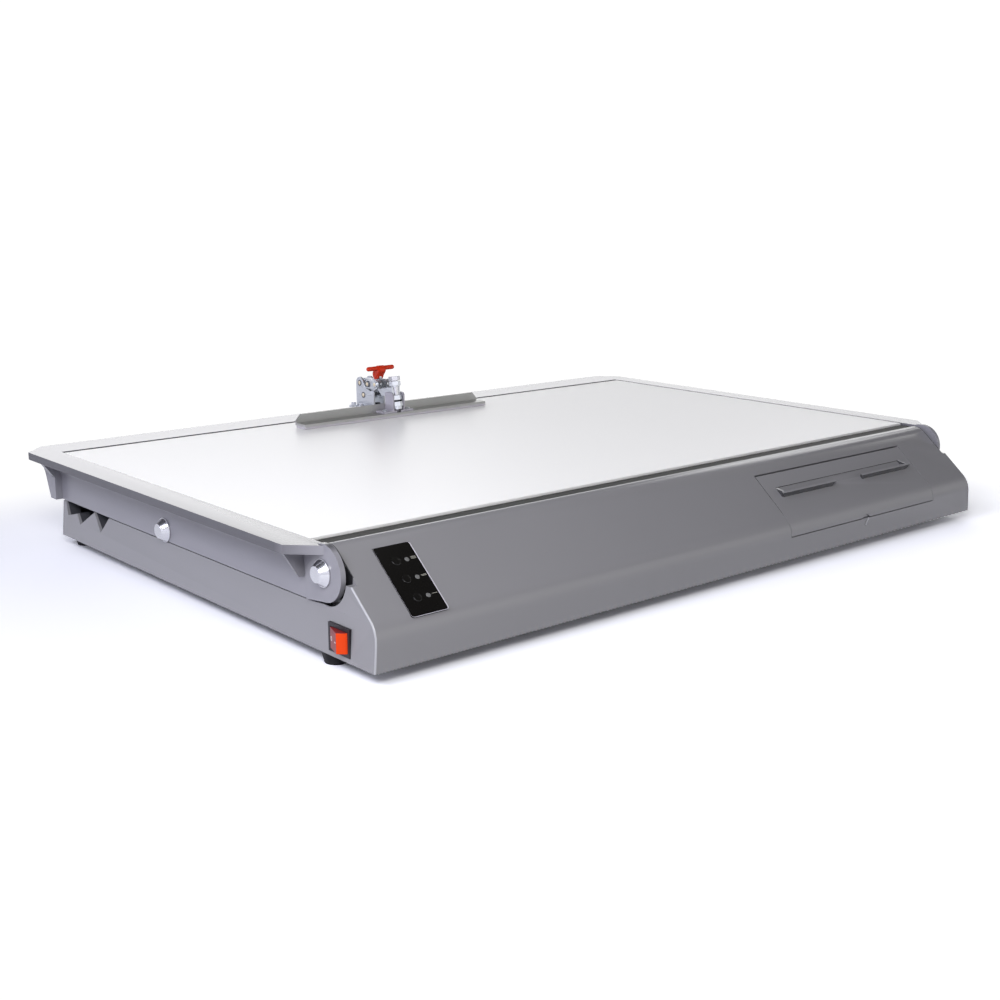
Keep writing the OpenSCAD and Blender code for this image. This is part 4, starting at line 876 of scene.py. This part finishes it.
class TABLE_OT_clamp(bpy.types.Operator):
    """Finishes the toggle clamp, its bar and its grip"""

    bl_idname = "weeding_table.clamp"
    bl_label = "Sheet clamp"

    def execute(self, context):
        sizes = context.scene.table_sizes
        for node in ("clamp_base", "clamp_arm", "clamp_links", "handle_lever"):
            finish_node(node, "zinc_sheet", sizes.metal_edge, 2)
        for node in ("clamp_bolts", "spindle_nuts", "spindle_washers", "bar_rivets"):
            finish_node(node, "zinc", sizes.metal_edge * 1.6, 2)
        for node in ("clamp_rivets", "handle_rivet"):
            finish_node(node, "rivet_ring", sizes.metal_edge, 2)
        self.add_rivet_centres("clamp_rivets", "top", "rivet_brass")
        self.add_rivet_centres("handle_rivet", "clamp_handle", "rivet_brass")
        self.add_rivet_centres("clamp_links", "clamp_link", "rivet_brass")
        finish_node("bar_bracket", "zinc_bracket", sizes.metal_edge, 2)
        finish_node("clamp_bar", "aluminium", sizes.metal_edge, 2)
        finish_node("bar_strip", "bar_pad", sizes.metal_edge)
        finish_node("arm_bumper", "rubber", sizes.metal_edge * 2, 3)
        finish_node("spindle_cushion", "rubber", sizes.metal_edge * 2, 3)
        finish_node("handle_grip", "grip", sizes.mould_edge, 3)
        finish_node("spindle", "polished", sizes.metal_edge * 1.6, 2)
        return {"FINISHED"}

    def add_rivet_centres(self, node, body, record_slot):
        """Domed centres on the heads of a node's rivets, at both ends along X."""
        solids = bmesh.new()
        solids.from_mesh(NODES[node].data)
        bmesh.ops.remove_doubles(solids, verts=solids.verts, dist=SAME_PLACE)
        middle = (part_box(node)[0].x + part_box(node)[1].x) / 2
        on_head = 0.00005
        mesh_data = bmesh.new()
        for island in self.islands(solids):
            for side in (-1, 1):
                end = max(v.co.x * side for v in island) * side
                if (end - middle) * side > 0:
                    head = [v.co for v in island if abs(v.co.x - end) < on_head]
                    self.add_dome(mesh_data, head, end, side)
        solids.free()
        new_piece(f"{node}_centres", mesh_data, body, "brass")

    def islands(self, solids):
        """The vertices of each separate solid in a bmesh."""
        left = set(solids.verts)
        while left:
            stack = [left.pop()]
            island = list(stack)
            while stack:
                for edge in stack.pop().link_edges:
                    for vertex in edge.verts:
                        if vertex in left:
                            left.remove(vertex)
                            stack.append(vertex)
                            island.append(vertex)
            yield island

    def add_dome(self, mesh_data, head, end, side):
        """A low dome in the middle of one head."""
        low = Vector([min(co[axis] for co in head) for axis in range(3)])
        high = Vector([max(co[axis] for co in head) for axis in range(3)])
        centre, radius = (low + high) / 2, (high.y - low.y) / 2
        steps = 24
        rings = []
        for share, height in ((0.58, -0.0001), (0.58, 0.00012), (0.48, 0.00026), (0.26, 0.00036)):
            ring = []
            for step in range(steps):
                turn = math.tau * step / steps * side
                ring.append(mesh_data.verts.new((
                    end + height * side,
                    centre.y + radius * share * math.cos(turn),
                    centre.z + radius * share * math.sin(turn),
                )))
            rings.append(ring)
        mesh_data.faces.new(list(reversed(rings[0])))
        bridge_rings(mesh_data, rings)
        mesh_data.faces.new(rings[-1])


# Colours of the studio's light, and the strength at which the background is plain white
NEUTRAL = (1.0, 1.0, 1.0)
COOL_LAMP = (0.84, 0.86, 1.0)
COOL_FILL = (0.88, 0.88, 1.04, 1.0)
FLOOR_TINT = (0.975, 0.98, 1.02)
WHITE = 1.05


class TABLE_OT_studio(bpy.types.Operator):
    """Sets up the floor, the lights and the camera"""

    bl_idname = "weeding_table.studio"
    bl_label = "Studio"

    def execute(self, context):
        studio = context.scene.table_studio
        self.add_floor(studio)
        self.add_world(studio)
        self.add_lamps(studio)
        self.add_camera(studio)
        return {"FINISHED"}

    def add_floor(self, studio):
        """A plain floor that keeps the table's shadows near it and is white further off."""
        mesh_data = bmesh.new()
        bmesh.ops.create_grid(mesh_data, x_segments=1, y_segments=1, size=studio.floor_size / 2)
        data = bpy.data.meshes.new("floor")
        mesh_data.to_mesh(data)
        mesh_data.free()
        floor = bpy.data.objects.new("floor", data)
        bpy.context.scene.collection.objects.link(floor)
        data.materials.append(self.floor_material(studio))

    def floor_material(self, studio):
        material, tree, shader = new_material("Floor white")
        tree.nodes.remove(shader)
        ray = add(tree, "ShaderNodeLightPath")
        at, _ = object_axes(tree)
        gain_right = studio.floor_gain * studio.floor_painted_light_right
        # Painted light: the gain rises towards the right, standing in for more light on the floor there.
        gain = ramp(tree, at["X"], -0.6, 0.6, studio.floor_gain, gain_right)
        seen = math_node(tree, "MAXIMUM", ray.outputs["Is Camera Ray"], ray.outputs["Is Glossy Ray"])
        brightness = mix_number(tree, seen, studio.floor_bounce, gain)
        matt = add(tree, "ShaderNodeBsdfDiffuse")
        tree.links.new(scale_colour(tree, FLOOR_TINT, brightness), matt.inputs["Color"])
        away = self.distance_from_table(tree, at, studio.front_fade)
        fade = ramp(tree, away, studio.floor_near * 0.1, studio.floor_near, shape="SMOOTHSTEP")
        white = add(tree, "ShaderNodeEmission", Strength=WHITE)
        whole = add(tree, "ShaderNodeMixShader")
        tree.links.new(math_node(tree, "MULTIPLY", fade, ray.outputs["Is Camera Ray"]), whole.inputs["Fac"])
        tree.links.new(matt.outputs[0], whole.inputs[1])
        tree.links.new(white.outputs[0], whole.inputs[2])
        tree.links.new(whole.outputs[0], tree.nodes["Material Output"].inputs["Surface"])
        return material

    def distance_from_table(self, tree, at, front_fade):
        """Distance from the table's footprint, counted front_fade times over ahead of it."""
        low, high = CAD_BOX
        wide = math_node(tree, "SUBTRACT", absolute(tree, at["X"]), high.x)
        behind = math_node(tree, "MAXIMUM", math_node(tree, "SUBTRACT", at["Y"], high.y), 0.0)
        ahead = math_node(tree, "MAXIMUM", math_node(tree, "SUBTRACT", low.y, at["Y"]), 0.0)
        deep = math_node(tree, "ADD", behind, math_node(tree, "MULTIPLY", ahead, front_fade))
        return length(tree, math_node(tree, "MAXIMUM", wide, 0.0), deep)

    def add_world(self, studio):
        """Soft fill from near the horizon, white to the camera and cooler from the left."""
        world = bpy.data.worlds.new("Studio")
        bpy.context.scene.world = world
        world.use_nodes = True
        tree = world.node_tree
        place = add(tree, "ShaderNodeTexCoord")
        towards = add(tree, "ShaderNodeSeparateXYZ")
        tree.links.new(place.outputs["Generated"], towards.inputs[0])
        x, y, z = (towards.outputs[axis] for axis in "XYZ")
        # The numbers are shares of a direction of length 1
        by_height = ramp(tree, z, 0.22, 0.5, studio.low_fill, studio.high_fill, "SMOOTHSTEP")
        by_depth = ramp(tree, y, -0.5, 0.5, studio.front_share, 1.0)
        by_side = ramp(tree, x, 0.45, 0.9, 1.0, studio.right_share, "SMOOTHSTEP")
        fill = math_node(tree, "MULTIPLY", math_node(tree, "MULTIPLY", by_height, by_depth), by_side)
        seen = add(tree, "ShaderNodeLightPath").outputs["Is Camera Ray"]
        background = tree.nodes["Background"].inputs
        tree.links.new(mix_number(tree, seen, fill, WHITE), background["Strength"])
        from_left = ramp(tree, x, -0.9, 0.3, 1.0, 0.0)
        share = math_node(tree, "MULTIPLY", from_left, math_node(tree, "SUBTRACT", 1.0, seen))
        tree.links.new(mix_colour(tree, share, rgba(NEUTRAL), COOL_FILL), background["Color"])

    def add_lamp(self, name, place, aim, size, power, colour=None):
        data = bpy.data.lights.new(name, "AREA")
        data.shape = "RECTANGLE"
        data.size, data.size_y = size
        data.energy = power
        data.color = colour or NEUTRAL
        lamp = bpy.data.objects.new(name, data)
        lamp.location = place
        lamp.rotation_euler = (Vector(aim) - Vector(place)).to_track_quat("-Z", "Y").to_euler()
        bpy.context.scene.collection.objects.link(lamp)

    def add_lamps(self, studio):
        self.add_lamp("overhead", (0.1, 0.4, 2.2), (0, 0, 0), (2.4, 1.8), studio.top_power)
        self.add_lamp("key", (-1.1, -1.1, 1.0), (-0.2, -0.3, 0.05), (0.7, 0.6), studio.key_power)
        self.add_lamp("side", (-1.75, -0.3, 1.3), (-0.4, -0.3, 0.05), (0.8, 0.55), studio.side_power,
                      COOL_LAMP)
        self.add_lamp("rim", (1.3, 0.3, 0.85), (0.1, -0.25, 0.1), (0.6, 0.35), studio.rim_power)
        self.add_lamp("back", (0.6, 2.4, 1.2), (0, 0, 0.08), (2.4, 1.0), studio.back_power)

    def add_camera(self, studio):
        data = bpy.data.cameras.new("camera")
        data.sensor_width = 36.0
        data.lens = studio.lens
        data.clip_start = 0.01
        data.clip_end = 100.0
        camera = bpy.data.objects.new("camera", data)
        forward = Vector((
            math.sin(studio.heading) * math.cos(studio.pitch),
            math.cos(studio.heading) * math.cos(studio.pitch),
            math.sin(studio.pitch),
        ))
        right = Vector((math.cos(studio.heading), -math.sin(studio.heading), 0))
        turn = Matrix((right, right.cross(forward), -forward)).transposed()
        camera.matrix_world = Matrix.Translation(studio.camera_at) @ turn.to_4x4()
        bpy.context.scene.collection.objects.link(camera)
        bpy.context.scene.camera = camera
        bpy.context.scene.view_settings.view_transform = "Standard"


class TABLE_PT_sidebar(bpy.types.Panel):
    """Lists the table's operators and values"""

    bl_idname = "TABLE_PT_sidebar"
    bl_label = "Weeding table"
    bl_space_type = "VIEW_3D"
    bl_region_type = "UI"
    bl_category = "Table"

    def draw(self, context):
        layout = self.layout
        for operator in OPERATORS:
            layout.operator(operator.bl_idname)
        for values in (context.scene.table_finishes, context.scene.table_sizes, context.scene.table_studio):
            box = layout.box()
            for name in values.__annotations__:
                box.prop(values, name)


OPERATORS = (TABLE_OT_studio, TABLE_OT_housing, TABLE_OT_frame, TABLE_OT_surface, TABLE_OT_panel,
             TABLE_OT_power, TABLE_OT_clamp)
CLASSES = (TableFinishes, TableSizes, StudioSettings, *OPERATORS, TABLE_PT_sidebar)


def register():
    for item in CLASSES:
        bpy.utils.register_class(item)
    bpy.types.Scene.table_finishes = bpy.props.PointerProperty(type=TableFinishes)
    bpy.types.Scene.table_sizes = bpy.props.PointerProperty(type=TableSizes)
    bpy.types.Scene.table_studio = bpy.props.PointerProperty(type=StudioSettings)


def unregister():
    del bpy.types.Scene.table_studio
    del bpy.types.Scene.table_sizes
    del bpy.types.Scene.table_finishes
    for item in reversed(CLASSES):
        bpy.utils.unregister_class(item)


def main():
    register()
    for operator in OPERATORS:
        group, name = operator.bl_idname.split(".")
        getattr(getattr(bpy.ops, group), name)()


if __name__ == "__main__":
    main()
